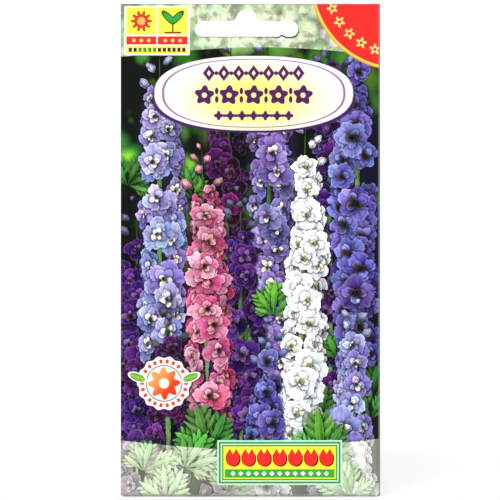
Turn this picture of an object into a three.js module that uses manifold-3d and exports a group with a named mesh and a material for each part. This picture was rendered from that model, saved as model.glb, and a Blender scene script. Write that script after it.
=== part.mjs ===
// A flat paper seed packet with a hang slot, filled with loose flower seeds.
//
// Millimetres. +X is right, +Y is back and +Z is up, as the packet hangs with its front facing -Y.
// The origin is where a display peg bears: the top of the slot's hump, half way through the packet.
//
// The envelope is one sheet of coated paper. From the left edge of the front panel a narrow side flap
// folds in, from its right edge the back panel folds over, and from its foot the bottom flap folds up
// over the back panel. Three strips of glue close it: side seam, bottom flap and header.

import * as THREE from "three";
import { ConvexGeometry } from "three/addons/geometries/ConvexGeometry.js";
import { mergeVertices } from "three/addons/utils/BufferGeometryUtils.js";
import Module from "manifold-3d";

// Driving dimensions.
const PACKET_WIDTH = 80;
const PACKET_HEIGHT = 152;
const PAPER = 0.12; // thickness of the coated sheet
const GLUE = 0.1; // thickness of a dried glue strip
const SWELL = 1.05; // most that each panel stands away from the middle plane
const SWELL_ACROSS = 0.8; // power that keeps the swelling full near the side folds, below 1
const SWELL_LOW = 0.5; // power that puts the fullest part low in the pocket: a quarter of the way up
const HEADER_HEIGHT = 17.7; // glued, flat top of the packet, which the slot is punched through

const SLOT_LENGTH = 32;
const SLOT_HEIGHT = 4.75;
const SLOT_LEFT_OF_CENTRE = 1.2;
const HUMP_RADIUS = 3.3;
const HUMP_FILLET = 0.7;
const TOP_EDGE_ABOVE_HUMP = 1.7;
const SLOT_BELOW_HUMP_TOP = 3.7; // top of the slot's bar

const SIDE_FLAP_WIDTH = 10;
const SEAM_STEP_START = 10.6; // from the left edge: where the back panel starts down off the side flap
const SEAM_STEP_END = 14;
const BACK_PANEL_INSET = 0.5; // from the left edge to the free edge of the back panel
const SEAM_GLUE_SPAN = [1.5, 8.5];
const BOTTOM_FLAP_HEIGHT = 14;
const BOTTOM_FLAP_INSET = 1.5; // at its fold, on each side
const BOTTOM_FLAP_TAPER = 2.5; // drawn in on each side in each of its two rows
const HEADER_GLUE_INSET = 1.5;
const FOOT_BAND = 1.3; // flat strip along the bottom fold, below the pocket
const EDGE_CLEARANCE = 0.3; // from the cut end of the back panel to the inside of the bottom fold

const SEED_COUNT = 40;
const SEED_SIZE = new THREE.Vector3(2.3, 1.3, 1.5); // the largest, lying across the packet
const SEED_CLEARANCE = 0.2;
const SEEDS_PER_ROW = 14;
const SEED_DRAW = 7; // start of the random draw

// Places that follow from them.
const LEFT = SLOT_LEFT_OF_CENTRE - PACKET_WIDTH / 2;
const RIGHT = LEFT + PACKET_WIDTH;
const MIDDLE = (LEFT + RIGHT) / 2;
const TOP = TOP_EDGE_ABOVE_HUMP;
const BOTTOM = TOP - PACKET_HEIGHT;
const CREASE = GLUE / 2; // half the gap between the inner faces at a fold and in the header
const FOLD_RADIUS = CREASE + PAPER; // outside of a side fold
const POCKET_TOP = TOP - HEADER_HEIGHT;
const POCKET_BOTTOM = BOTTOM + FOOT_BAND;
const BOTTOM_GLUE_INSET = BOTTOM_FLAP_INSET + 2 * BOTTOM_FLAP_TAPER;

const FOLD_STEPS = 4; // flats round a half turn of paper

// Grid lines that every layer shares, so that glued faces lie exactly on each other.
const FLAP_LINES = [0, 1, 2].map((row) => BOTTOM_FLAP_INSET + row * BOTTOM_FLAP_TAPER);
const EDGE_LINES = [FOLD_RADIUS, BACK_PANEL_INSET, ...FLAP_LINES];
const COLUMNS = [
  ...[...EDGE_LINES, SEAM_GLUE_SPAN[1], SIDE_FLAP_WIDTH, SEAM_STEP_START, SEAM_STEP_END].map(fromLeft),
  ...[20, 26, 33, 40, 47, 54, 60, 66, 70].map(fromLeft),
  ...[...EDGE_LINES].reverse().map((x) => RIGHT - x),
];
const FLAP_HEIGHTS = [BOTTOM_FLAP_HEIGHT, (BOTTOM_FLAP_HEIGHT + FOOT_BAND) / 2, FOOT_BAND];
const FLAP_ROWS = FLAP_HEIGHTS.map((z) => BOTTOM + z);
const ROWS = [
  TOP,
  POCKET_TOP,
  ...[6, 14, 24, 36, 48, 60, 72, 84, 95, 105, 113].map((drop) => POCKET_TOP - drop),
  ...FLAP_ROWS,
];

function fromLeft(x) {
  return LEFT + x;
}

function clamp01(value) {
  return Math.min(1, Math.max(0, value));
}

// Half the gap between the front and back panels' inner faces: nothing but the crease at the folds and
// in the header, and fullest across the middle and low in the pocket, where the seeds push.
function halfGap(x, z) {
  const across = clamp01(1 - ((x - MIDDLE) / (PACKET_WIDTH / 2 - FOLD_RADIUS)) ** 2);
  const up = clamp01((z - POCKET_BOTTOM) / (POCKET_TOP - POCKET_BOTTOM));
  return CREASE + SWELL * across ** SWELL_ACROSS * Math.sin(Math.PI * up ** SWELL_LOW);
}

// How far the back panel stands out further than the gap, to pass over the side flap and its glue.
function seamStep(x) {
  const down = clamp01((x - fromLeft(SEAM_STEP_START)) / (SEAM_STEP_END - SEAM_STEP_START));
  return (PAPER + GLUE) * (1 - down);
}

// Inner faces of the layers, as distances behind the middle plane.
const frontInner = (x, z) => -halfGap(x, z);
const sideFlapInner = (x, z) => halfGap(x, z);
const backInner = (x, z) => halfGap(x, z) + seamStep(x);
const bottomFlapInner = (x, z) => backInner(x, z) + PAPER + GLUE;

// Outer radius of the bottom fold, which goes round the back panel and its glue as well.
function bottomFoldRadius(x) {
  return CREASE + (seamStep(x) + PAPER + GLUE) / 2 + PAPER;
}

// A sheet with thickness: each grid point has a point on its near face and one on its far face. The
// triangles are listed once, seen from the near side, and a wall closes each edge that only one uses.
function thickSheet(triangles, near, far) {
  const positions = [];
  const use = new Map();
  const put = (...points) => points.forEach((p) => positions.push(p.x, p.y, p.z));
  for (const [a, b, c] of triangles) {
    put(near(a), near(b), near(c));
    put(far(a), far(c), far(b));
    for (const [from, to] of [[a, b], [b, c], [c, a]]) {
      const back = to + " " + from;
      if (use.has(back)) use.delete(back);
      else use.set(from + " " + to, [from, to]);
    }
  }
  for (const [from, to] of use.values()) {
    put(near(to), near(from), far(from));
    put(near(to), far(from), far(to));
  }
  const geometry = new THREE.BufferGeometry();
  geometry.setAttribute("position", new THREE.Float32BufferAttribute(positions, 3));
  return geometry;
}

// Two triangles for the cell right of column i and below row j, seen from the front. The diagonal leans
// inwards going up, on either half of the packet, like the sides of the bottom flap.
function cell(name, i, j, leansRight) {
  const [topLeft, topRight] = [name(i, j), name(i + 1, j)];
  const [bottomLeft, bottomRight] = [name(i, j + 1), name(i + 1, j + 1)];
  return leansRight
    ? [[topLeft, bottomLeft, topRight], [topRight, bottomLeft, bottomRight]]
    : [[topLeft, bottomRight, topRight], [topLeft, bottomLeft, bottomRight]];
}

const isLeftHalf = (x) => x < MIDDLE - 1e-6;

// A strip of glue between two layers, over whole cells of the shared grid.
function glueStrip(xFrom, xTo, zRows, nearY, farY) {
  const columns = COLUMNS.filter((x) => x > xFrom - 1e-6 && x < xTo + 1e-6);
  const name = (i, j) => i * zRows.length + j;
  const at = (y) => (id) => {
    const x = columns[Math.floor(id / zRows.length)];
    const z = zRows[id % zRows.length];
    return new THREE.Vector3(x, y(x, z), z);
  };
  const triangles = [];
  for (let i = 0; i + 1 < columns.length; i++) {
    for (let j = 0; j + 1 < zRows.length; j++) {
      triangles.push(...cell(name, i, j, isLeftHalf(columns[i])));
    }
  }
  return thickSheet(triangles, at(nearY), at(farY));
}

// The unfolded sheet's columns, from the free edge of the side flap round to that of the back panel.
function sheetColumns() {
  const flap = COLUMNS.filter((x) => x < fromLeft(SIDE_FLAP_WIDTH) + 1e-6).reverse();
  const back = COLUMNS.filter((x) => x > fromLeft(BACK_PANEL_INSET) - 1e-6).reverse();
  const turns = Array.from({ length: FOLD_STEPS - 1 }, (_, k) => (k + 1) / FOLD_STEPS);
  return [
    ...flap.map((x) => ({ panel: "side flap", x })),
    ...turns.map((turn) => ({ panel: "left fold", turn })),
    ...COLUMNS.map((x) => ({ panel: "front", x })),
    ...turns.map((turn) => ({ panel: "right fold", turn })),
    ...back.map((x) => ({ panel: "back", x })),
  ];
}

// The sheet's rows, from the top edge down the panels, round the bottom fold and up the bottom flap.
function sheetRows() {
  const turns = Array.from({ length: FOLD_STEPS }, (_, k) => (k + 1) / FOLD_STEPS);
  return [
    ...ROWS.map((z) => ({ part: "panel", z })),
    { part: "foot" },
    ...turns.map((turn) => ({ part: "bottom fold", turn })),
    ...[...FLAP_ROWS].reverse().map((z) => ({ part: "bottom flap", z })),
  ];
}

// A point of the sheet, folded: on its inner face for depth 0 and on its outer face for depth PAPER.
function foldedPoint(column, row, depth) {
  const point = new THREE.Vector3();
  if (column.panel.endsWith("fold")) {
    const side = column.panel === "left fold" ? -1 : 1;
    const centre = side < 0 ? LEFT + FOLD_RADIUS : RIGHT - FOLD_RADIUS;
    const angle = side * Math.PI * (column.turn - 0.5);
    const radius = CREASE + depth;
    const z = row.part === "foot" ? BOTTOM + bottomFoldRadius(centre) : row.z;
    return point.set(centre + side * radius * Math.cos(angle), radius * Math.sin(angle), z);
  }
  const { x } = column;
  const footZ = BOTTOM + bottomFoldRadius(x);
  if (column.panel === "front") {
    const foldY = (seamStep(x) + PAPER + GLUE) / 2;
    const foldInner = bottomFoldRadius(x) - PAPER + depth;
    if (row.part === "panel") return point.set(x, frontInner(x, row.z) - depth, row.z);
    if (row.part === "bottom flap") return point.set(x, bottomFlapInner(x, row.z) + depth, row.z);
    const angle = row.part === "foot" ? 0 : Math.PI * row.turn;
    return point.set(x, foldY - foldInner * Math.cos(angle), footZ - foldInner * Math.sin(angle));
  }
  const inner = column.panel === "back" ? backInner : sideFlapInner;
  const z = row.part === "foot" ? footZ + EDGE_CLEARANCE : row.z;
  return point.set(x, inner(x, z) + depth, z);
}

// How much of the cell right of column i and below row j the sheet has: 0, 1 or 2 of its triangles. The
// bottom flap narrows by one column on each side in each row, and its slanting sides halve a cell.
function trianglesOfCell(columns, rows, i, j) {
  const { part, z } = rows[j];
  if (part === "panel") return 2;
  if (columns[i].panel !== "front" || columns[i + 1].panel !== "front") return 0;
  const rowsClimbed = part === "bottom flap" ? FLAP_ROWS.length - 1 - FLAP_ROWS.indexOf(z) : 0;
  const first = COLUMNS.indexOf(fromLeft(BOTTOM_FLAP_INSET)) + rowsClimbed;
  const last = COLUMNS.length - 2 - first;
  const k = COLUMNS.indexOf(columns[i].x);
  if (k < first || k > last) return 0;
  return part === "bottom flap" && (k === first || k === last) ? 1 : 2;
}

// The folded envelope, before its slot is punched.
function foldedSheet() {
  const columns = sheetColumns();
  const rows = sheetRows();
  const name = (i, j) => i * rows.length + j;
  const at = (depth) => (id) =>
    foldedPoint(columns[Math.floor(id / rows.length)], rows[id % rows.length], depth);
  const triangles = [];
  for (let i = 0; i + 1 < columns.length; i++) {
    for (let j = 0; j + 1 < rows.length; j++) {
      const x = Math.min(columns[i].x ?? MIDDLE, columns[i + 1].x ?? MIDDLE);
      const runsRight = columns[i].panel === "front";
      const runsDown = rows[j].part !== "bottom flap";
      const leansRight = isLeftHalf(x) === (runsRight === runsDown);
      triangles.push(...cell(name, i, j, leansRight).slice(0, trianglesOfCell(columns, rows, i, j)));
    }
  }
  return thickSheet(triangles, at(PAPER), at(0));
}

// The hang slot's outline: a bar with round ends and a round hump, which runs into the bar in fillets.
function slotOutline() {
  const end = SLOT_HEIGHT / 2;
  const barTop = -SLOT_BELOW_HUMP_TOP;
  const barMiddle = barTop - end;
  const reach = SLOT_LENGTH / 2 - end;
  const filletRise = barTop + HUMP_FILLET + HUMP_RADIUS;
  const filletX = Math.sqrt((HUMP_RADIUS + HUMP_FILLET) ** 2 - filletRise ** 2);
  const tilt = Math.atan2(filletRise, filletX);
  const outline = new THREE.Shape();
  outline.moveTo(-reach, barMiddle - end);
  outline.absarc(reach, barMiddle, end, -Math.PI / 2, Math.PI / 2, false);
  outline.absarc(filletX, barTop + HUMP_FILLET, HUMP_FILLET, -Math.PI / 2, -Math.PI + tilt, true);
  outline.absarc(0, -HUMP_RADIUS, HUMP_RADIUS, tilt, Math.PI - tilt, false);
  outline.absarc(-filletX, barTop + HUMP_FILLET, HUMP_FILLET, -tilt, -Math.PI / 2, true);
  outline.absarc(-reach, barMiddle, end, Math.PI / 2, (3 * Math.PI) / 2, false);
  return outline;
}

// The punch that cuts the slot: its outline carried right through the packet, front to back.
function slotPunch() {
  const depth = 4;
  const geometry = new THREE.ExtrudeGeometry(slotOutline(), { depth, bevelEnabled: false, curveSegments: 7 });
  return geometry.translate(0, 0, -depth / 2).rotateX(Math.PI / 2);
}

// An angular, ridged seed: the hull of points drawn on an ellipsoid, flatter below than above.
function seedGeometry(random) {
  const points = [];
  const rings = [[-0.95, 0.35, 4], [-0.25, 1, 6], [0.45, 0.85, 6], [1, 0.3, 3]];
  for (const [along, wide, count] of rings) {
    for (let k = 0; k < count; k++) {
      const angle = (2 * Math.PI * (k + 0.4 * random())) / count;
      const out = wide * (0.85 + 0.15 * random());
      points.push(new THREE.Vector3(along, out * Math.cos(angle), out * Math.sin(angle)));
    }
  }
  return new ConvexGeometry(points);
}

// A repeatable stream of numbers from 0 to 1.
function seededRandom(state) {
  return () => {
    state = (state * 1664525 + 1013904223) % 4294967296;
    return state / 4294967296;
  };
}

const wasm = await Module();
wasm.setup();

function toManifold(geometry) {
  const bare = geometry.clone();
  bare.deleteAttribute("normal");
  bare.deleteAttribute("uv");
  const merged = mergeVertices(bare, 1e-4);
  const triVerts = new Uint32Array(merged.index.array);
  const vertProperties = merged.attributes.position.array;
  return new wasm.Manifold(new wasm.Mesh({ numProp: 3, vertProperties, triVerts }));
}

function toGeometry(manifold) {
  const mesh = manifold.getMesh();
  const geometry = new THREE.BufferGeometry();
  geometry.setAttribute("position", new THREE.BufferAttribute(mesh.vertProperties, 3));
  geometry.setIndex(new THREE.BufferAttribute(mesh.triVerts, 1));
  return geometry;
}

function punched(geometry) {
  return toGeometry(toManifold(geometry).subtract(toManifold(slotPunch())));
}

const printedPaper = new THREE.MeshStandardMaterial({ color: 0x8b8398, roughness: 0.45, metalness: 0 });
const driedGlue = new THREE.MeshStandardMaterial({ color: 0xe9e4d2, roughness: 0.4, metalness: 0 });
const seedCoat = new THREE.MeshStandardMaterial({ color: 0x3a2a20, roughness: 0.85, metalness: 0 });

function node(name, geometry, material) {
  const mesh = new THREE.Mesh(geometry, material);
  mesh.name = name;
  return mesh;
}

function envelope() {
  return node("envelope", punched(foldedSheet()), printedPaper);
}

function seamGlue() {
  const [from, to] = SEAM_GLUE_SPAN.map(fromLeft);
  const near = (x, z) => sideFlapInner(x, z) + PAPER;
  return node("seam_glue", glueStrip(from, to, ROWS, near, backInner), driedGlue);
}

function bottomFlapGlue() {
  const [from, to] = [LEFT + BOTTOM_GLUE_INSET, RIGHT - BOTTOM_GLUE_INSET];
  const near = (x, z) => backInner(x, z) + PAPER;
  return node("bottom_flap_glue", glueStrip(from, to, FLAP_ROWS, near, bottomFlapInner), driedGlue);
}

function headerGlue() {
  const [from, to] = [LEFT + HEADER_GLUE_INSET, RIGHT - HEADER_GLUE_INSET];
  const strip = glueStrip(from, to, [TOP, POCKET_TOP], frontInner, sideFlapInner);
  return node("header_glue", punched(strip), driedGlue);
}

// The lowest place at x where the pocket is wide enough for the largest seed.
function seatHeight(x) {
  const step = 0.1;
  let z = POCKET_BOTTOM;
  while (2 * halfGap(x, z) < SEED_SIZE.y + SEED_CLEARANCE) z += step;
  return z;
}

// Loose seeds, heaped in rows from where the pocket narrows to their thickness.
function seeds() {
  const random = seededRandom(SEED_DRAW);
  const group = new THREE.Group();
  for (let k = 0; k < SEED_COUNT; k++) {
    const row = Math.floor(k / SEEDS_PER_ROW);
    const inRow = Math.min(SEEDS_PER_ROW, SEED_COUNT - row * SEEDS_PER_ROW);
    const x = MIDDLE + ((k % SEEDS_PER_ROW) - (inRow - 1) / 2) * (SEED_SIZE.x + SEED_CLEARANCE);
    const size = SEED_SIZE.clone().multiplyScalar(1 - 0.1 * random());
    const seed = node("seed_" + String(k + 1).padStart(2, "0"), seedGeometry(random), seedCoat);
    seed.scale.copy(size).divideScalar(2);
    seed.position.set(x, 0, seatHeight(x) + size.z / 2 + row * (SEED_SIZE.z + SEED_CLEARANCE));
    group.add(seed);
  }
  return group;
}

const seedPacket = new THREE.Group();
seedPacket.name = "seed_packet";
seedPacket.add(envelope(), seamGlue(), bottomFlapGlue(), headerGlue(), seeds());

export default seedPacket;
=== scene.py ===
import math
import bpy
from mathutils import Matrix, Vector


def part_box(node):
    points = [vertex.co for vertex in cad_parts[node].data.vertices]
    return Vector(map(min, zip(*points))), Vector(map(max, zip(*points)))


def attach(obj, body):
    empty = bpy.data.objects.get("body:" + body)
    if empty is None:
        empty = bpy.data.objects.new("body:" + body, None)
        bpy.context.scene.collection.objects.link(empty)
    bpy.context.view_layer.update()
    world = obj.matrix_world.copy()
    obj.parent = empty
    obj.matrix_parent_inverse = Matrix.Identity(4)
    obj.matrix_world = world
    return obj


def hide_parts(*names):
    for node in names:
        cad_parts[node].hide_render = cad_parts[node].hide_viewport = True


bl_info = {
    "name": "Seed packet",
    "version": (1, 0, 0),
    "blender": (4, 5, 0),
    "location": "3D View > Sidebar > Seed packet",
    "description": "Folds, prints and glues a paper seed packet round its solid frame",
    "category": "Object",
}

from functools import partialmethod

import bpy
import numpy as np
from bpy.props import FloatProperty, FloatVectorProperty, IntProperty, PointerProperty

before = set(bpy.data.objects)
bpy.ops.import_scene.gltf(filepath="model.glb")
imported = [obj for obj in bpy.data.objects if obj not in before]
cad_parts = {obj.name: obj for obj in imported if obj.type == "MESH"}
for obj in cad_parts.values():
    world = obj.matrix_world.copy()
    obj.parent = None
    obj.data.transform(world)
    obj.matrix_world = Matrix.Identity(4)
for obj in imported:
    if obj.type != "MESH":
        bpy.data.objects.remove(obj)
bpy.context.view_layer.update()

# Millimetres from here on, in the frame's own axes: the front faces -Y and +Z is up. The origin is the
# top of the slot's hump. "Sheet" places are measured on the unfolded print: X from the front panel's
# left edge, on round the right fold and over the back; Y down from the top edge, on round the foot.
MM = 0.001


def box_of(node):
    """The lowest and the highest corner of a solid of the frame."""
    return tuple(np.array(corner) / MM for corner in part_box(node))


(LEFT, _, BOTTOM), (RIGHT, _, TOP) = box_of("envelope")
WIDTH, HEIGHT = RIGHT - LEFT, TOP - BOTTOM
MIDDLE = (LEFT + RIGHT) / 2
SEED_NODES = [f"seed_{k:02d}" for k in range(1, 41)]
SEED_BOXES = [box_of(name) for name in SEED_NODES]

FOLD_RADIUS = 0.17
FOLD_DEPTH = 0.2  # half the thickness of a pressed fold, for spacing its columns
SWELL_ACROSS = 0.8  # power that keeps the swelling full near the side folds
SWELL_LOW = 0.5  # power that puts the fullest part low in the pocket
FOOT_BAND = 1.3  # flat strip along the bottom fold
POCKET_TOP = TOP - 17.7
POCKET_BOTTOM = BOTTOM + FOOT_BAND
SEED_BUMP = (1.3, 0.07)  # reach and height of the paper's bump over a seed

SIDE_FLAP = 10.0
SEAM_STEP = (10.6, 14.0)  # where the back panel comes down off the side flap
BACK_INSET = 0.5
SEAM_GLUE = (1.5, 8.5)
FLAP_HEIGHT = 14.0
FLAP_INSET = 1.5
FLAP_TAPER = 5.0
SLIT = 0.04  # the cut between the bottom flap's end and the strip beside it
HEADER_GLUE_INSET = 1.5
FOOT_ROUND = 0.06  # from the bottom of the box to the foot of the side strips
CORNER = 0.8  # reach of the round corners at the foot
CORNER_RISE = 0.6

SLOT_REACH = 16.0
SLOT_END = 2.375
SLOT_MIDDLE = -3.7 - SLOT_END
HUMP_RADIUS = 3.3
HUMP_FILLETS = (1.5, 0.7)  # left and right
NICK_PLACE, NICK_REACH, NICK_HEIGHT = 9.72, 1.25, 0.62  # its place is from the packet's middle

SIDE_PANEL, LEFT_FOLD, FRONT, RIGHT_FOLD, BACK = range(5)
PANEL_ROW, FOOT_ROW, FOLD_ROW, FLAP_ROW = range(4)
SOFT_EDGE = 0.14  # width over which a printed mark's edge fades


def ink(red, green, blue):
    """A printed colour, given as 0 to 255 on a screen, as linear light."""
    screen = np.array([red, green, blue]) / 255
    linear = np.where(screen < 0.04045, screen / 12.92, ((screen + 0.055) / 1.055) ** 2.4)
    return tuple(float(value) for value in linear)


# ---------------------------------------------------------------- settings


def length_property(name, description, millimetres):
    """A length in the sidebar."""
    return FloatProperty(name=name, description=description, default=millimetres * MM, unit="LENGTH")


def colour_property(name, description, default):
    """A colour swatch in the sidebar."""
    limits = {"subtype": "COLOR", "min": 0, "max": 1}
    return FloatVectorProperty(name=name, description=description, default=default, **limits)


class SheetSettings(bpy.types.PropertyGroup):
    paper: length_property("Paper", "Thickness of the coated sheet", 0.12)
    glue: length_property("Glue", "Thickness of a dried glue strip", 0.1)
    swell: length_property("Swell", "Most that each panel stands away from the middle plane", 1.05)
    shoulder: length_property("Shoulder", "How far in from a fold the paper starts to turn", 0.6)
    cockle: length_property("Cockle", "Depth of the sheet's slow waves over the filled pocket", 0.1)
    cell: length_property("Cell", "Width of one mesh cell on the printed front", 0.68)


class PrintSettings(bpy.types.PropertyGroup):
    blue: colour_property("Blue spire", "Body colour of the mid-blue flowers", ink(80, 70, 150))
    lilac: colour_property("Lilac spire", "Body colour of the pale lilac flowers", ink(124, 120, 190))
    violet: colour_property("Violet spire", "Body colour of the deep violet flowers", ink(47, 10, 77))
    plum: colour_property("Plum spire", "Body colour of the dark red-violet flowers", ink(57, 8, 68))
    mauve: colour_property("Mauve spire", "Body colour of the mauve flowers", ink(126, 106, 182))
    rose: colour_property("Rose spire", "Body colour of the rose flowers", ink(196, 66, 120))
    white: colour_property("White spire", "Body colour of the white flowers", ink(238, 242, 250))
    leaf: colour_property("Leaf", "Colour of the leaves", ink(80, 155, 50))
    shade: colour_property("Background", "Darkest green behind the flowers", ink(8, 14, 9))
    wash: colour_property("Wash", "Pale green of the header and footer", ink(226, 250, 204))
    red: colour_property("Red", "Red of the corner and the small panels", ink(250, 48, 44))
    yellow: colour_property("Yellow", "Yellow of the small panels", ink(251, 250, 80))
    letter_violet: colour_property("Ornament", "Dark violet of the title's ornament", ink(88, 30, 95))
    seed: IntProperty(name="Draw", description="Start of the random draw for the flowers", default=11)


class StageSettings(bpy.types.PropertyGroup):
    floor: colour_property("Floor", "Colour of the floor and the backdrop", (0.5, 0.5, 0.5))
    lens: FloatProperty(name="Lens", description="Focal length of the camera", default=135.0, unit="CAMERA")
    view_height: length_property("View height", "Height of the picture at the packet's own distance", 154.2)
    key_power: FloatProperty(
        name="Key", description="Power of the large soft lamp", default=13.3, unit="POWER"
    )
    fill: FloatProperty(name="Fill", description="Brightness of the light from all round", default=0.35)


# ---------------------------------------------------------------- the folded sheet


def clamp01(value):
    return np.clip(value, 0.0, 1.0)


def smooth_step(value, start, end):
    """0 before start, 1 after end, and 3k^2 - 2k^3 of the way k between them."""
    k = clamp01((value - start) / (end - start))
    return k * k * (3 - 2 * k)


def slot_distance(x, z):
    """Distance outside the hang slot's outline: a bar with round ends joined to a round hump by fillets,
    wider on the left. Where both shapes are nearer than the fillet's radius r, it is r less the length
    of (r-a, r-b). The punch left a nick in the lower edge, raised by (3 - 2n) n^2 with n the nearness."""
    near = clamp01(1 - np.abs(x - MIDDLE - NICK_PLACE) / NICK_REACH)
    lower = z - (z < SLOT_MIDDLE) * NICK_HEIGHT * near**2 * (3 - 2 * near)
    bar = np.hypot(np.maximum(np.abs(x) - (SLOT_REACH - SLOT_END), 0), lower - SLOT_MIDDLE) - SLOT_END
    hump = np.hypot(x, z + HUMP_RADIUS) - HUMP_RADIUS
    fillet = np.where(x < 0, *HUMP_FILLETS)
    near_bar = np.maximum(fillet - bar, 0)
    near_hump = np.maximum(fillet - hump, 0)
    return np.maximum(fillet, np.minimum(bar, hump)) - np.hypot(near_bar, near_hump)


def cell_middles(values):
    """The mean of each cell's four corners."""
    return (values[:-1, :-1] + values[1:, :-1] + values[:-1, 1:] + values[1:, 1:]) / 4


def corners_of(cells):
    """The grid points that any of these cells touches."""
    points = np.zeros((cells.shape[0] + 1, cells.shape[1] + 1), bool)
    for i in (0, 1):
        for j in (0, 1):
            points[i : i + cells.shape[0], j : j + cells.shape[1]] |= cells
    return points


def cut_slot(x, z, cells):
    """Drops the cells whose middle is inside the slot, and moves the corners left on the slot's edge onto
    its outline: each goes back down the distance's own slope by the distance, a few times over."""
    hole = cells & (slot_distance(cell_middles(x), cell_middles(z)) < 0)
    kept = cells & ~hole
    edge = corners_of(hole) & corners_of(kept)
    px, pz = x[edge], z[edge]
    tiny = 1e-4
    for _ in range(6):
        away = slot_distance(px, pz)
        slope_x = (slot_distance(px + tiny, pz) - slot_distance(px - tiny, pz)) / (2 * tiny)
        slope_z = (slot_distance(px, pz + tiny) - slot_distance(px, pz - tiny)) / (2 * tiny)
        steep = np.maximum(slope_x**2 + slope_z**2, 0.25)
        px = px - away * slope_x / steep
        pz = pz - away * slope_z / steep
    x[edge], z[edge] = px, pz
    return kept


class Fold:
    """The folded packet's measures in millimetres, and the formulas that place its layers."""

    def __init__(self, settings):
        for name in ("paper", "glue", "swell", "shoulder", "cockle", "cell"):
            setattr(self, name, getattr(settings, name) / MM)
        self.crease = self.glue / 2

    def half_gap(self, x, z):
        """Half the space between front and back: the crease, plus the swell times across^0.8 times
        sin(pi up^0.5). Across is 1 less the square of the way to a side fold; up is the height share."""
        across = clamp01(1 - ((x - MIDDLE) / (WIDTH / 2 - FOLD_RADIUS)) ** 2)
        up = clamp01((z - POCKET_BOTTOM) / (POCKET_TOP - POCKET_BOTTOM))
        return self.crease + self.swell * across**SWELL_ACROSS * np.sin(np.pi * up**SWELL_LOW)

    def seam_step(self, x):
        """How much further the back panel stands out where it passes over the side flap and its glue."""
        return (self.paper + self.glue) * (1 - smooth_step(x - LEFT, *SEAM_STEP))

    def back_inner(self, x, z):
        return self.half_gap(x, z) + self.seam_step(x)

    def flap_inner(self, x, z):
        return self.back_inner(x, z) + self.paper + self.glue

    def relief(self, x, z, side):
        """The filled pocket's low waves, as a distance outwards: four slow sine waves, and a round bump
        exp(-(distance / 1.3)^2) over each seed. Both fade out towards the folds, the header, and where
        the back panel is glued. Side is -1 on the front and +1 on the back."""
        waves = (
            np.sin(x * 0.21 + z * 0.071 + side)
            + np.sin(x * 0.093 - z * 0.132 + 2 * side)
            + 0.6 * np.sin(x * 0.37 + z * 0.19 + 1.3)
            + 0.6 * np.sin(x * -0.29 + z * 0.33 + 0.4 * side)
        )
        reach, rise = SEED_BUMP
        bumps = np.zeros(np.broadcast(x, z).shape)
        for low, high in SEED_BOXES:
            cx, cz = (low[0] + high[0]) / 2, (low[2] + high[2]) / 2
            bumps += np.exp(-((x - cx) ** 2 + (z - cz) ** 2) / reach**2)
        window = smooth_step(x, LEFT + 1.5, LEFT + 9) * (1 - smooth_step(x, RIGHT - 9, RIGHT - 1.5))
        window = window * smooth_step(z, BOTTOM + 2, BOTTOM + 9)
        window = window * (1 - smooth_step(z, POCKET_TOP - 14, POCKET_TOP))
        if side > 0:
            window = window * smooth_step(x, LEFT + 14, LEFT + 22) * smooth_step(z, BOTTOM + 15, BOTTOM + 22)
        return window * (self.cockle * waves / 2 + rise * np.minimum(bumps, 1.2))


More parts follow.
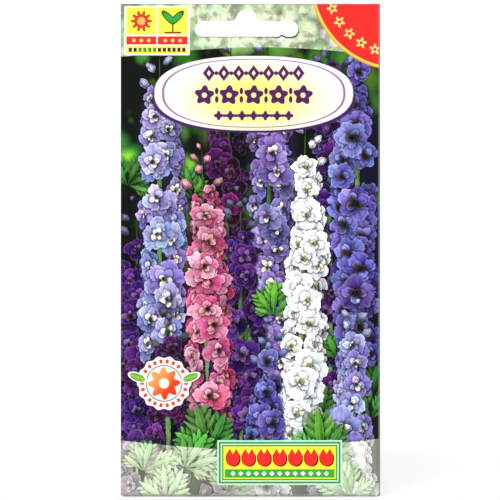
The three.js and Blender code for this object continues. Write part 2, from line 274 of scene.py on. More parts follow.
class SheetGrid:
    """The unfolded sheet's columns and rows. Columns run from the side flap's free edge over the left
    fold, the front and the right fold to the back panel's free edge; rows run from the top edge down,
    round the foot and up the bottom flap."""

    def __init__(self, fold):
        self.fold = fold
        self.place_columns()
        self.place_rows()
        shape = (self.panel.shape[0], self.part.shape[1])
        self.on_fold = np.broadcast_to((self.panel == LEFT_FOLD) | (self.panel == RIGHT_FOLD), shape)
        self.on_front = np.broadcast_to(self.panel == FRONT, shape)
        self.on_back = np.broadcast_to(self.panel == BACK, shape)
        within_inset = (self.sheet_x >= FLAP_INSET - 1e-6) & (self.sheet_x <= WIDTH - FLAP_INSET + 1e-6)
        self.place_corners(within_inset)

        self.cells = np.ones((shape[0] - 1, shape[1] - 1), bool)
        self.cells &= (self.part[:, 1:] <= FOOT_ROW) | (within_inset[:-1] & within_inset[1:])
        for panel in (FRONT, BACK):
            self.punch(panel)
        self.place_print()

    def place_columns(self):
        """Each column's panel, its X on the sheet and in the packet, and its angle round a fold. Those of
        the back are closest across the slot and where the panel steps down off the side flap, and a
        fold's turn the surface evenly."""
        tight = self.fold.shoulder
        turns = np.arctan(FOLD_DEPTH / tight * np.tan(np.linspace(-np.pi / 2, np.pi / 2, 9)[1:-1]))
        beside = [tight, (tight + FLAP_INSET) / 2, FLAP_INSET - SLIT]
        flat_cells = round((WIDTH - 2 * FLAP_INSET) / self.fold.cell)
        front = [*beside, *np.linspace(FLAP_INSET, WIDTH - FLAP_INSET, flat_cells + 1)]
        front += [WIDTH - place for place in reversed(beside)]
        side = [SIDE_FLAP, 8.5, 7.0, 4.0, FLAP_INSET, tight]
        slot_left, slot_right = RIGHT - SLOT_REACH - 1.0, RIGHT + SLOT_REACH + 1.0
        back = [*beside, FLAP_INSET, *np.linspace(4.0, slot_left - 3.0, 7)]
        back += np.linspace(slot_left, slot_right, 43).tolist()
        back += [61.0, 63.5, *np.linspace(66.0, 69.4, 6), 71.5, 74.0, 76.5]
        back += [WIDTH - FLAP_INSET, WIDTH - FLAP_INSET + SLIT, WIDTH - BACK_INSET]
        columns = [(SIDE_PANEL, -place, LEFT + place, 0.0) for place in side]
        columns += [(LEFT_FOLD, -tight * math.sin(-angle), LEFT + tight, -angle) for angle in turns]
        columns += [(FRONT, place, LEFT + place, 0.0) for place in front]
        columns += [(RIGHT_FOLD, WIDTH + tight * math.sin(angle), RIGHT - tight, angle) for angle in turns]
        columns += [(BACK, WIDTH + place, RIGHT - place, 0.0) for place in back]
        self.panel, self.sheet_x, self.x, self.turn = (np.array(row)[:, None] for row in zip(*columns))

    def place_rows(self):
        """Each row's part, its Y on the sheet, its height in the packet and its angle round the foot."""
        tight = self.fold.shoulder
        down = np.linspace(TOP, BOTTOM + FOOT_BAND, round((HEIGHT - FOOT_BAND) / self.fold.cell) + 1)
        bends = np.linspace(0, np.pi, 9)[1:]
        climbs = np.linspace(FOOT_BAND, FLAP_HEIGHT, 9)
        rows = [(PANEL_ROW, TOP - z, z, 0.0) for z in down]
        rows += [(FOOT_ROW, HEIGHT - tight, BOTTOM + tight, 0.0)]
        rows += [(FOLD_ROW, HEIGHT - tight * math.cos(angle), BOTTOM + tight, angle) for angle in bends]
        rows += [(FLAP_ROW, HEIGHT + climb, BOTTOM + climb, 0.0) for climb in climbs]
        self.part, self.sheet_y, self.z, self.bend = (np.array(row)[None, :] for row in zip(*rows))

    def place_corners(self, within_inset):
        """Where each grid point lies on its panel. The bottom flap narrows as it climbs, and the foot of
        the strips beside it rises by the square of the nearness to the side. The back panel ends inside
        the bottom fold, but reaches the foot in those strips."""
        tight = self.fold.shoulder
        climbed = clamp01((self.z - BOTTOM - FOOT_BAND) / (FLAP_HEIGHT - FOOT_BAND))
        narrowing = 1 - FLAP_TAPER * climbed / (WIDTH / 2 - FLAP_INSET)
        self.on_flap = (self.part == FLAP_ROW) & self.on_front
        self.flat_x = np.where(self.on_flap, MIDDLE + (self.x - MIDDLE) * narrowing, self.x)
        from_side = WIDTH / 2 - np.abs(self.x - MIDDLE) - self.on_fold * tight * np.cos(self.turn)
        rounding = FOOT_ROUND + CORNER_RISE * clamp01(1 - from_side / CORNER) ** 2
        foot_z = np.where(within_inset, BOTTOM + tight, BOTTOM + rounding)
        covered = np.abs(self.x - MIDDLE) < WIDTH / 2 - FLAP_INSET + SLIT / 2
        foot_z = np.where(self.on_back & covered, BOTTOM + tight + 0.3, foot_z)
        self.flat_z = np.where(self.part == FOOT_ROW, foot_z, self.z)

    def punch(self, panel):
        """Cuts the slot through one panel's header."""
        first, last = np.flatnonzero(self.panel[:, 0] == panel)[[0, -1]]
        points = np.s_[first : last + 1, :]
        cells = self.cells[first:last]
        header = np.broadcast_to(self.z[:, :-1] > POCKET_TOP, cells.shape)
        kept = cut_slot(self.flat_x[points], self.flat_z[points], cells & header)
        self.cells[first:last] = np.where(header, kept, cells)

    def place_print(self):
        """Where each grid point lies on the print. What was moved on its panel keeps its true place."""
        slid = self.flat_x - np.where(self.on_flap, self.flat_x, self.x)
        self.print_x = self.sheet_x + slid * np.where(self.on_back, -1.0, 1.0)
        self.print_x = np.where(self.on_flap, self.flat_x - LEFT, self.print_x)
        self.print_y = np.where(self.part == PANEL_ROW, TOP - self.flat_z, self.sheet_y)

    def points(self, depth):
        """Every grid point folded into place, depth out from the sheet's inner face. A panel lies at its
        own distance from the middle plane. A side fold is half an ellipse, (shoulder, gap) in half
        axes, and the bottom fold is another that also goes round the back panel and its glue."""
        fold, x, z = self.fold, self.flat_x, self.flat_z
        out = fold.shoulder - fold.paper + depth
        side_y = fold.half_gap(x, z) + depth
        front_y = -fold.half_gap(x, z) - depth - fold.relief(x, z, -1)
        back_y = fold.back_inner(x, z) + depth + fold.relief(x, z, 1)
        flap_y = fold.flap_inner(x, z) + depth
        turn_y = side_y * np.sin(self.turn)
        turn_x = x + np.where(self.panel == LEFT_FOLD, -1, 1) * out * np.cos(self.turn)
        wrapped = (fold.seam_step(x) + fold.paper + fold.glue) / 2
        bend_y = wrapped - (fold.crease + wrapped + depth) * np.cos(self.bend)
        bend_z = z - out * np.sin(self.bend)
        on_bend = self.on_front & (self.part == FOLD_ROW)
        places = [self.on_fold, on_bend, self.on_flap, self.on_front, self.on_back]
        y = np.select(places, [turn_y, bend_y, flap_y, front_y, back_y], side_y)
        x = np.where(self.on_fold, turn_x, x)
        z = np.where(on_bend, bend_z, z)
        return np.stack([x, y, z], axis=-1)


def grid_quads(cells, start):
    """Four point numbers for each kept cell of a grid, going down, right, up and left."""
    rows = cells.shape[1] + 1
    i, j = np.nonzero(cells)
    a = start + i * rows + j
    return np.stack([a, a + 1, a + rows + 1, a + rows], axis=1)


def wall_quads(cells, far_start):
    """A wall for each side of a cell with no neighbour there, from the outer grid to the inner one."""
    rows = cells.shape[1] + 1
    padded = np.pad(cells, 1)
    number = np.arange((cells.shape[0] + 1) * rows).reshape(-1, rows)
    corner = [number[:-1, :-1], number[:-1, 1:], number[1:, 1:], number[1:, :-1]]
    beside = [padded[:-2, 1:-1], padded[1:-1, 2:], padded[2:, 1:-1], padded[1:-1, :-2]]
    walls = []
    for k in range(4):
        open_side = cells & ~beside[k]
        start, end = corner[k][open_side], corner[(k + 1) % 4][open_side]
        walls.append(np.stack([end, start, start + far_start, end + far_start], axis=1))
    return np.concatenate(walls)


def layered_mesh(name, outer, inner, cells):
    """A sheet with thickness: its outer grid, its inner grid turned round, and walls on every open side.
    Returns the mesh, the number of cells and the number of walls."""
    count = outer.shape[0] * outer.shape[1]
    faces = grid_quads(cells, 0)
    back_faces = grid_quads(cells, count)[:, ::-1]
    walls = wall_quads(cells, count)
    quads = np.concatenate([faces, back_faces, walls])
    points = np.concatenate([outer.reshape(-1, 3), inner.reshape(-1, 3)]) * MM
    used, quads = np.unique(quads, return_inverse=True)
    quads = quads.reshape(-1, 4)
    points = points[used]
    mesh = bpy.data.meshes.new(name)
    mesh.vertices.add(len(points))
    mesh.vertices.foreach_set("co", points.ravel())
    mesh.loops.add(quads.size)
    mesh.loops.foreach_set("vertex_index", quads.ravel().astype(np.int32))
    mesh.polygons.add(len(quads))
    mesh.polygons.foreach_set("loop_start", np.arange(0, quads.size, 4, dtype=np.int32))
    mesh.update(calc_edges=True)
    mesh.polygons.foreach_set("use_smooth", np.ones(len(quads), bool))
    mesh.set_sharp_from_angle(angle=math.radians(50))
    return mesh, len(faces), len(walls)


def corner_values(grid_values, cells):
    """A grid point's value at each corner of each kept cell, in the corners' order."""
    v = grid_values
    corners = np.stack([v[:-1, :-1], v[:-1, 1:], v[1:, 1:], v[1:, :-1]], axis=2)
    return corners[cells]


def add_vectors(mesh, name, values):
    """A vector on each face corner, by name, for a material to read."""
    layer = mesh.attributes.new(name, "FLOAT_VECTOR", "CORNER")
    layer.data.foreach_set("vector", np.ascontiguousarray(values, np.float32).ravel())


def finish_piece(name, mesh, materials, node):
    """Puts a mesh into the scene as a piece that stands for a solid node of the frame."""
    piece = bpy.data.objects.new(name, mesh)
    bpy.context.collection.objects.link(piece)
    for material in materials:
        mesh.materials.append(material)
    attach(piece, "root")
    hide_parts(node)


# ---------------------------------------------------------------- shader arithmetic


class Field:
    """A number that varies over a surface: the output of a shader node. Arithmetic adds Math nodes."""

    def __init__(self, inks, socket):
        self.inks = inks
        self.socket = socket

    def math(self, operation, *others, clamp=False):
        socket = self.inks.node("Math", (self, *others), operation=operation, use_clamp=clamp)
        return Field(self.inks, socket)

    __add__ = partialmethod(math, "ADD")
    __sub__ = partialmethod(math, "SUBTRACT")
    __mul__ = partialmethod(math, "MULTIPLY")
    __truediv__ = partialmethod(math, "DIVIDE")
    __rsub__ = partialmethod(math, "MULTIPLY_ADD", -1)
    times_plus = partialmethod(math, "MULTIPLY_ADD")
    size = partialmethod(math, "ABSOLUTE")
    least = partialmethod(math, "MINIMUM")
    most = partialmethod(math, "MAXIMUM")
    power = partialmethod(math, "POWER")
    sine = partialmethod(math, "SINE")
    cosine = partialmethod(math, "COSINE")
    angle_from = partialmethod(math, "ARCTAN2")
    below = partialmethod(math, "LESS_THAN")

    def inside(self, soft=SOFT_EDGE):
        """1 where this distance is negative and 0 outside, over an edge that is soft millimetres wide."""
        return self.math("MULTIPLY_ADD", -1 / soft, 0.5, clamp=True)

    def rise(self, start, end):
        """0 at start and 1 at end, in a smooth step."""
        inputs = {"Value": self, "From Min": start, "From Max": end}
        return Field(self.inks, self.inks.node("MapRange", inputs, interpolation_type="SMOOTHSTEP"))

    def repeat(self, period):
        """How far this is from the middle of the repeat that it is in, from -period/2 to period/2."""
        return self.math("WRAP", period / 2, -period / 2)

    def line(self, width):
        """A line along the outline of the shape that this is the distance to."""
        return self.size() - width / 2


class Inks:
    """A material's nodes, and the marks that are printed with them. Places are sheet millimetres."""

    def __init__(self, name):
        self.material = bpy.data.materials.new(name)
        self.material.use_nodes = True
        self.tree = self.material.node_tree
        self.tree.nodes.clear()
        self.shader = self.tree.nodes.new("ShaderNodeBsdfPrincipled")
        output = self.tree.nodes.new("ShaderNodeOutputMaterial")
        self.tree.links.new(self.shader.outputs[0], output.inputs[0])

    def feed(self, sockets, inputs):
        """Links each value that varies to its socket, and sets the others on theirs. The inputs are in
        the sockets' order, or by name or number."""
        for key, value in inputs.items() if isinstance(inputs, dict) else enumerate(inputs):
            socket = sockets[key]
            if isinstance(value, Field):
                value = value.socket
            if isinstance(value, bpy.types.NodeSocket):
                self.tree.links.new(value, socket)
            elif hasattr(value, "__len__"):
                socket.default_value = (*value, 1.0)[: len(socket.default_value)]
            else:
                socket.default_value = float(value)

    def node(self, kind, inputs=(), output=0, **settings):
        """A node's output. What feeds a node is always made before it: the other way round the renderer
        holds up all that follows and runs out of room."""
        node = self.tree.nodes.new("ShaderNode" + kind)
        for name, value in settings.items():
            setattr(node, name, value)
        self.feed(node.inputs, inputs)
        return node.outputs[output]

    def finish(self, colour, roughness, **others):
        """The material, once its shader has its colour, its roughness and any other inputs, by name."""
        self.feed(self.shader.inputs, {"Base Color": colour, "Roughness": roughness, **others})
        return self.material

    def attribute(self, name):
        return self.node("Attribute", output="Vector", attribute_name=name)

    def object_place(self):
        """Where a point is on its object, in metres."""
        return self.node("TexCoord", output="Object")

    def split(self, vector):
        first = self.node("SeparateXYZ", (vector,))
        return [Field(self, output) for output in first.node.outputs]

    def join(self, x, y, z=0.0):
        return self.node("CombineXYZ", (x, y, z))

    def length(self, x, y):
        return Field(self, self.node("VectorMath", (self.join(x, y),), "Value", operation="LENGTH"))

    def noise(self, vector, scale, detail=2.0, roughness=0.5):
        inputs = {"Vector": vector, "Scale": scale, "Detail": detail, "Roughness": roughness}
        return Field(self, self.node("TexNoise", inputs))

    def mix(self, share, under, over, blend="MIX"):
        """The colour under, with the colour over laid on it by share."""
        return self.node("Mix", {0: share, 6: under, 7: over}, 2, data_type="RGBA", blend_type=blend)

    def blend(self, share, first, second):
        return Field(self, self.node("Mix", {0: share, 2: first, 3: second}, data_type="FLOAT"))

    def scaled(self, colour, factor):
        """A colour made lighter or darker by a number that varies."""
        return self.node("VectorMath", {0: colour, "Scale": factor}, operation="SCALE")

    def bump(self, height, strength, distance):
        """The surface's slope where it is raised by a number that varies, up to distance millimetres."""
        return self.node("Bump", {"Height": height, "Strength": strength, "Distance": distance * MM})

    # A print is laid mark by mark on self.colour. A mark is the distance to a shape, negative inside it.

    def start(self, x, y, settings):
        """The sheet places and the settings that a print's marks use."""
        self.x, self.y, self.settings = x, y, settings
        self.place = self.join(x, y)

    def lay(self, shape, *colour, share=None, soft=SOFT_EDGE):
        """Prints a colour inside a shape: a red, green and blue on a screen, or a colour of its own."""
        mask = shape.inside(soft) if share is None else shape.inside(soft) * share
        self.colour = self.mix(mask, self.colour, ink(*colour) if len(colour) == 3 else colour[0])

    def disc(self, centre, radius, at=None):
        x, y = at or (self.x, self.y)
        return self.length(x - centre[0], y - centre[1]) - radius

    def panel(self, centre, half_size, corner=0.0, at=None):
        """A rectangle with round corners: the length of what is beyond the inner rectangle."""
        x, y = at or (self.x, self.y)
        beyond_x = (x - centre[0]).size() - (half_size[0] - corner)
        beyond_y = (y - centre[1]).size() - (half_size[1] - corner)
        outside = self.length(beyond_x.most(0), beyond_y.most(0))
        return outside + beyond_x.most(beyond_y).least(0) - corner

    def flower(self, centre, radius, petals, depth=0.3, turn=0.0, at=None):
        """A round flower whose outline swings in and out with the cosine of petals times the angle."""
        x, y = at or (self.x, self.y)
        dx, dy = x - centre[0], y - centre[1]
        swing = dy.angle_from(dx).times_plus(petals, turn).cosine()
        return self.length(dx, dy) - swing.times_plus(radius * depth, radius * (1 - depth))

    def dry(self, roughness):
        """Coated paper: the print, an uneven semi-gloss and the faint tooth of its fibres."""
        tooth = self.noise(self.place, 2.2, 4.0, 0.65)
        gloss = {"IOR": 1.45, "Specular IOR Level": 0.1, "Normal": self.bump(tooth, 0.25, 0.02)}
        return self.finish(self.colour, tooth.times_plus(0.1, roughness - 0.05), **gloss)


# ---------------------------------------------------------------- the flower picture

PETAL_LAYERS = 6
PETAL_FLARE = 0.32  # how much wider a petal is at its tip
PETAL_POINT = 0.4  # how much of its shoulders is cut off
GOLDEN_TURN = 2.39996
FAR_LIGHTS, GLADE_LIGHTS = 150, 70

# For each colour of spire: the edge of a petal, the stubs of the eye and its dark middle.
FLOWER_INKS = {
    "blue": (ink(126, 126, 216), ink(50, 34, 30), ink(8, 5, 8)),
    "lilac": (ink(196, 196, 240), ink(252, 248, 232), ink(50, 38, 40)),
    "violet": (ink(88, 34, 136), ink(112, 82, 136), ink(6, 2, 10)),
    "plum": (ink(96, 22, 112), ink(104, 62, 92), ink(6, 1, 6)),
    "mauve": (ink(176, 156, 226), ink(252, 246, 232), ink(56, 34, 46)),
    "rose": (ink(250, 176, 202), ink(226, 156, 152), ink(60, 12, 26)),
    "white": (ink(255, 255, 255), ink(226, 232, 196), ink(120, 140, 90)),
}

# The picture from back to front. A spire has its top, foot, half width, flower radius and light. A row
# of leaves has its light, and then each leaf's X, Y, size and heading in degrees.
PICTURE = (
    ("plum", (34, 10), (31, 154), 8.0, 4.8, 0.75),
    ("violet", (64, 6), (65, 154), 8.0, 4.8, 0.8),
    ("leaf", 0.5, (16, 130, 9, -110), (42, 133, 10, -60), (61, 128, 9, -120), (77, 122, 9, -80)),
    ("mauve", (45, 5), (47, 154), 8.3, 5.2, 0.85),
    ("violet", (5, 62), (5, 154), 8.4, 5.0, 0.9),
    ("leaf", 0.75, (22, 60, 8, -100), (37, 108, 9, -100), (67, 110, 9, -60), (77, 128, 9, -110)),
    ("leaf", 0.75, (2, 56, 8, -70)),
    ("blue", (72, 8), (74, 110), 8.6, 5.4, 1.0),
    ("lilac", (12, 12), (12, 104), 8.8, 5.6, 1.0),
    ("violet", (37, 58), (37, 154), 8.4, 5.2, 1.0),
    ("rose", (25, 44), (27, 128), 8.4, 5.0, 1.0),
    ("plum", (14, 92), (15, 154), 8.2, 5.2, 1.0),
    ("leaf", 0.9, (27, 138, 12, -112), (20, 143, 9, -60), (52, 143, 9, -100), (47, 96, 8, -85)),
    ("white", (57, 36), (55, 133), 8.2, 5.2, 1.22),
    ("lilac", (73, 92), (71, 154), 8.4, 5.4, 0.95),
    ("blue", (45, 98), (43, 154), 7.8, 5.2, 1.0),
    ("leaf", 1.05, (62, 140, 11, -95), (7, 144, 9, -70), (33, 150, 9, -60), (71, 152, 10, -120)),
    ("leaf", 1.05, (14, 153, 9, -100)),
)

# The soft bright greens close behind the spires: X, Y and radius.
NEAR_LIGHTS = (
    (20, 50, 3.5), (50, 52, 3.0), (66, 46, 3.0), (35, 44, 3.0),
    (2, 48, 3.0), (48, 70, 3.0), (19, 80, 2.5),
)


class Petals:
    """A list of flat petals and leaf lobes, painted from the back to the front. Each has a base, an
    axis from there to its tip, a half width, a colour, and 1 for a leaf."""

    def __init__(self):
        self.rows = []

    def add(self, base, axis, half_width, colour, leaf=0.0):
        base = np.atleast_2d(base)
        count = len(base)
        columns = [base, np.broadcast_to(axis, (count, 2)), np.broadcast_to(half_width, count)[:, None]]
        columns += [np.broadcast_to(colour, (count, 3)), np.full((count, 1), float(leaf))]
        self.rows.append(np.hstack(columns))


def petal_place(petal, x, y):
    """Where points lie on a petal: s from 0 at its base to 1 at its tip, and t from -1 to 1 across its
    half width, with the side towards the light, up and left, positive. Both are affine."""
    bx, by, ax, ay, half_width = (petal[..., k] for k in range(5))
    long2 = ax**2 + ay**2
    s = ((x - bx) * ax + (y - by) * ay) / long2
    t = ((y - by) * ax - (x - bx) * ay) / (np.sqrt(long2) * half_width)
    to_light = np.where(0.6 * ay - 0.8 * ax > 0, 1.0, -1.0)
    return s, t * to_light


def petal_radius(s, t, leaf):
    """1 on a petal's outline and less inside: the length of (u, t) with u = 2s - 1 and t wider towards
    the tip, plus a share of u times |t| that cuts off the shoulders, and for a leaf's pointed lens
    u^2 + |t|."""
    u = 2 * s - 1
    across = t / np.maximum(1 + PETAL_FLARE * u, 0.1)
    oval = np.hypot(u, across) + PETAL_POINT * np.maximum(u, 0) * np.abs(across)
    return np.where(leaf > 0, u**2 + np.abs(across), oval)


def in_shade(colour, light):
    """A colour dimmed to a share of its light. It is also raised to a power, so that it gets purer."""
    return np.clip(colour ** (1 + 0.7 * np.clip(1 - light, -0.3, 1)) * light**0.9, 0, 1)


# A flower's rings from the outside in: petals, turn, jitter of the turn and of the size, start and reach
# as shares of the radius, half width, share of the edge's colour and light.
FLOWER_RINGS = (
    (5, 0.0, 0.12, 0.1, 0.05, 0.98, 0.50, 0.0, 1.0),
    (3, 0.63, 0.35, 0.1, 0.02, 0.60, 0.25, 0.25, 1.06),
    (4, 0.2, 0.3, 0.5, 0.0, 0.36, 0.13, 0.0, 1.0),
)


def flower_block(rng, centre, radius, squash, light, colours):
    """The petals of many flowers, in the order that each is painted: five broad outer petals, three small
    inner ones between them, the four stubs of the eye and its dark middle. A flower's ring is pressed
    flat sideways by squash where it faces round the spire."""
    tint, tip, eye, pupil = colours
    count = len(centre)
    nod = rng.uniform(0.8, 1.0, count)[:, None]
    spin = rng.uniform(0, 2 * np.pi, count)[:, None]
    hue = 1 + rng.normal(0, 0.12 * (1.1 - max(tint)), (count, 1, 3))
    blocks = []
    for petals, turn, jitter, uneven, start, reach, wide, blend, lift in FLOWER_RINGS:
        around = spin + turn + np.arange(petals) * 2 * np.pi / petals + rng.normal(0, jitter, (count, petals))
        away = np.stack([np.cos(around) * squash[:, None], np.sin(around) * nod], axis=-1)
        size = radius[:, None] * np.clip(rng.normal(1.0, uneven, (count, petals)), 0.3, 1.4)
        facing = np.hypot(np.sin(around) * squash[:, None], np.cos(around) * nod)
        base = centre[:, None, :] + away * (start * size)[..., None]
        axis = away * (reach * size)[..., None]
        half = wide * size * np.clip(facing, 0.4, 1)
        # Petals that point up and left catch the light.
        lit = 1 - 0.18 * (np.cos(around) * 0.6 + np.sin(around) * 0.8) + rng.normal(0, 0.12, (count, petals))
        lit = (lit * light[:, None] * lift)[..., None]
        share = clamp01(rng.beta(0.7, 1.6, (count, petals)) + blend)[..., None]
        cast = np.sin(5 * around + centre[:, :1])[..., None] * np.array([0.2, -0.1, 0.0]) * (1.2 - max(tint))
        body = (tint * (1 - share) + tip * share) * hue * (1 + cast)
        if petals == 4:
            body, lit = np.broadcast_to(eye, body.shape), np.sqrt(lit)
        rows = [base, axis, half[..., None], in_shade(body, lit), np.zeros((count, petals, 1))]
        blocks.append(np.concatenate(rows, axis=-1))
    disc = radius * 0.12 * rng.uniform(0.6, 1.4, count)
    half = np.stack([disc * squash, np.zeros(count)], axis=-1)
    shift = rng.normal(0, 0.05, (count, 2)) * radius[:, None]
    dark = pupil * np.sqrt(light)[:, None]
    rows = [centre + shift - half, 2 * half, disc[:, None], dark, np.zeros((count, 1))]
    blocks.append(np.concatenate(rows, axis=-1)[:, None, :])
    return np.concatenate(blocks, axis=1).reshape(-1, 9)


def spire(petals, rng, top, foot, half_width, flower, dim, colours):
    """A tall spire of flowers round one stem. The flowers sit at golden-angle turns, closer and smaller
    towards the tip, and end in buds. Those round the sides are narrower, darker and further back.
    Returns the spire's middle and reach, all the way down."""
    tint, tip = colours[:2]
    top, foot = np.asarray(top, float), np.asarray(foot, float)
    length = foot[1] - top[1]
    petals.add(top - [0, 1.0], foot - top, 0.7, np.asarray([0.10, 0.22, 0.06]) * dim, 1.0)

    count = int(length * 0.72)
    along = np.linspace(0, 1, count) ** 0.9
    turn = np.arange(count) * GOLDEN_TURN + rng.normal(0, 0.45, count)
    full = clamp01(along * length / 34) ** 0.6
    bud = along * length < 13
    radius = np.where(bud, 0.9 + 1.3 * full, flower * (0.42 + 0.58 * full) * rng.uniform(0.84, 1.12, count))
    out = np.maximum(half_width * full - 0.72 * radius, 0.3) * rng.uniform(0.8, 1.15, count)
    bend = 1.2 * np.sin(along * 3 + top[0])
    x = top[0] + (foot[0] - top[0]) * along + bend + out * np.sin(turn)
    y = top[1] + length * along + rng.normal(0, 1.0, count) + 1.2 * (1 - np.cos(turn))
    front = np.cos(turn)
    squash = np.clip(np.abs(front) + rng.normal(0, 0.08, count), 0.42, 1)
    light = dim * (0.58 + 0.38 * clamp01(front + 0.3) - 0.12 * np.sin(turn)) * rng.uniform(0.86, 1.1, count)
    order = np.argsort(front + 0.5 * along + rng.normal(0, 0.12, count))
    order = order[front[order] > -0.6]

    buds, flowers = order[bud[order]], order[~bud[order]]
    if len(buds):
        centre = np.stack([x[buds], y[buds]], axis=-1)
        lean = np.stack([0.9 * np.sin(turn[buds]), -0.8 + 0 * buds], axis=-1)
        size = radius[buds][:, None]
        body = np.clip((tint * 0.45 + tip * 0.5 + np.array([0.03, 0.08, 0.03])) * light[buds][:, None], 0, 1)
        petals.add(centre, lean * size * 2.2, size[:, 0] * 0.74, body)
        lit = np.clip(body * 1.5, 0, 1)
        petals.add(centre + lean * size * 0.4, lean * size * 1.5, size[:, 0] * 0.36, lit)
    if len(flowers):
        centre = np.stack([x[flowers], y[flowers]], axis=-1)
        block = flower_block(rng, centre, radius[flowers], squash[flowers], light[flowers], colours)
        petals.rows.append(block)
    reach = half_width * full * smooth_step(along * length, 12, 20)
    return np.stack([top[0] + (foot[0] - top[0]) * along + bend, top[1] + length * along, reach], axis=-1)


def leaf_cluster(petals, rng, centre, size, heading, leaf_colour, light):
    """A hand-shaped leaf: five lobes fanned about its heading, each with three pairs of pointed side
    teeth that grow out of it."""
    for fan, share in ((-1.35, 0.85), (1.35, 0.85), (-0.7, 1.1), (0.7, 1.1), (0.0, 1.3)):
        angle = heading + fan + rng.normal(0, 0.08)
        reach = size * share * rng.uniform(0.85, 1.15)
        away = np.array([math.cos(angle), math.sin(angle)])
        side = np.array([-away[1], away[0]])
        hue = np.array([rng.uniform(0.5, 1.5), 1.0, rng.uniform(0.6, 1.8)])
        tone = np.clip(np.asarray(leaf_colour) * hue * light * rng.uniform(0.4, 1.4), 0, 1)
        for start in (0.30, 0.48, 0.66):
            for spread in (1, -1):
                tooth = (away * 0.9 + side * 0.7 * spread) * reach * (0.55 - 0.36 * start)
                own_tone = tone * rng.uniform(0.6, 1.3)
                petals.add(centre + away * reach * start, tooth, reach * 0.05, own_tone, 1.0)
        petals.add(centre, away * reach, reach * 0.085, tone, 1.0)


def draw_lights(rng, count, spans, brightness, tint, colour):
    """Soft lights with an X, a Y and a radius drawn from three spans. Each has the colour at its own
    brightness, with its red, green and blue each tinted by a draw of their own."""
    lights = np.stack([rng.uniform(*span, count) for span in spans], axis=-1)
    glow = rng.uniform(*brightness, (count, 1)) * np.asarray(colour) * rng.uniform(*tint, (count, 3))
    return lights, glow


def far_lights(rng, leaf_colour):
    """The soft lights of the far background and their colours: dim ones all over the upper part, bright
    greens close behind the spires, and a pale glade at the top."""
    upper, top = ((-2, 82), (-4, 70), (0.8, 4.5)), ((16, 68), (-3, 13), (0.9, 3.4))
    far, dim = draw_lights(rng, FAR_LIGHTS, upper, (0.05, 1.5), (0.5, 1.8), leaf_colour)
    glade, clear = draw_lights(rng, GLADE_LIGHTS, top, (0.25, 1.1), (0.75, 1.2), ink(196, 228, 150))
    near = np.tile(ink(128, 200, 52), (len(NEAR_LIGHTS), 1)) * 2.2
    return np.concatenate([far, NEAR_LIGHTS, glade]), np.concatenate([dim, near, clear])


def flower_picture(settings):
    """The picture's petals from back to front, the spires' bodies for the shade between the flowers, and
    the soft lights of the far background."""
    rng = np.random.default_rng(settings.seed)
    petals = Petals()
    bodies = []
    for kind, *row in PICTURE:
        if kind == "leaf":
            light, *leaves = row
            for x, y, size, heading in leaves:
                centre = np.array([x, y])
                leaf_cluster(petals, rng, centre, size, math.radians(heading), settings.leaf, light)
        else:
            colours = [np.asarray(colour) for colour in (getattr(settings, kind), *FLOWER_INKS[kind])]
            bodies.append((spire(petals, rng, *row, colours), colours[0] * 0.07 * row[-1]))
    return np.concatenate(petals.rows), bodies, far_lights(rng, settings.leaf)


def background(x, y, bodies, lights, shade):
    """What is seen past all petals: the dark ground, round blurred lights that fade from a third of their
    radius to a third past it, and darker still the inside of each spire in its own hue."""
    colour = np.broadcast_to(np.asarray(shade, float), (*x.shape, 3)).copy()
    for (cx, cy, r), glow in zip(*lights):
        share = (1 - smooth_step(np.hypot(x - cx, y - cy), 0.3 * r, 1.35 * r)) * 0.5
        colour = colour * (1 - share[..., None]) + glow * share[..., None]
    for body, hue in bodies:
        axis_x = np.interp(y, body[:, 1], body[:, 0])
        reach = np.interp(y, body[:, 1], body[:, 2], left=0.0, right=0.0)
        share = (1 - smooth_step(np.abs(x - axis_x), 0.6 * reach, reach + 0.6)) * (reach > 0.5)
        colour = colour * (1 - share[..., None]) + hue * share[..., None]
    return colour


def stack_petals(petals, x, y):
    """Which petals each cell of the picture shows, the nearest first, up to PETAL_LAYERS. Petals are
    taken from the front; a cell is closed once one covers it right out past its corners."""
    reach, shadow, ragged = 0.5, 0.35, 0.25  # half a cell's diagonal, mm more, and share of a half width
    layers = np.full((*x.shape, PETAL_LAYERS), -1)
    depth = np.zeros(x.shape, int)
    closed = np.zeros(x.shape, bool)
    beneath = np.full(x.shape, -1)
    columns, rows = x.mean(axis=1), y.mean(axis=0)
    for k in range(len(petals) - 1, -1, -1):
        petal = petals[k]
        ends = np.array([petal[:2], petal[:2] + petal[2:4]])
        spread = petal[4] * 1.4 + 1.0
        low, high = ends.min(axis=0) - spread, ends.max(axis=0) + spread
        i0, i1 = np.searchsorted(columns, [low[0], high[0]])
        j0, j1 = np.searchsorted(rows, [low[1], high[1]])
        if i0 == i1 or j0 == j1:
            continue
        part = np.s_[i0:i1, j0:j1]
        s, t = petal_place(petal, x[part], y[part])
        away = (petal_radius(s, t, petal[8]) - 1) * petal[4]
        touched = (away < reach + shadow) & ~closed[part]
        room = touched & (depth[part] < PETAL_LAYERS)
        i, j = np.nonzero(room)
        layers[i0 + i, j0 + j, depth[part][i, j]] = k
        over = touched & ~room & (away < 0)
        beneath[part] = np.where(over, k, beneath[part])
        closed[part] |= over | (touched & (away < -reach - ragged * petal[4]))
        depth[part] += room
    return layers, beneath


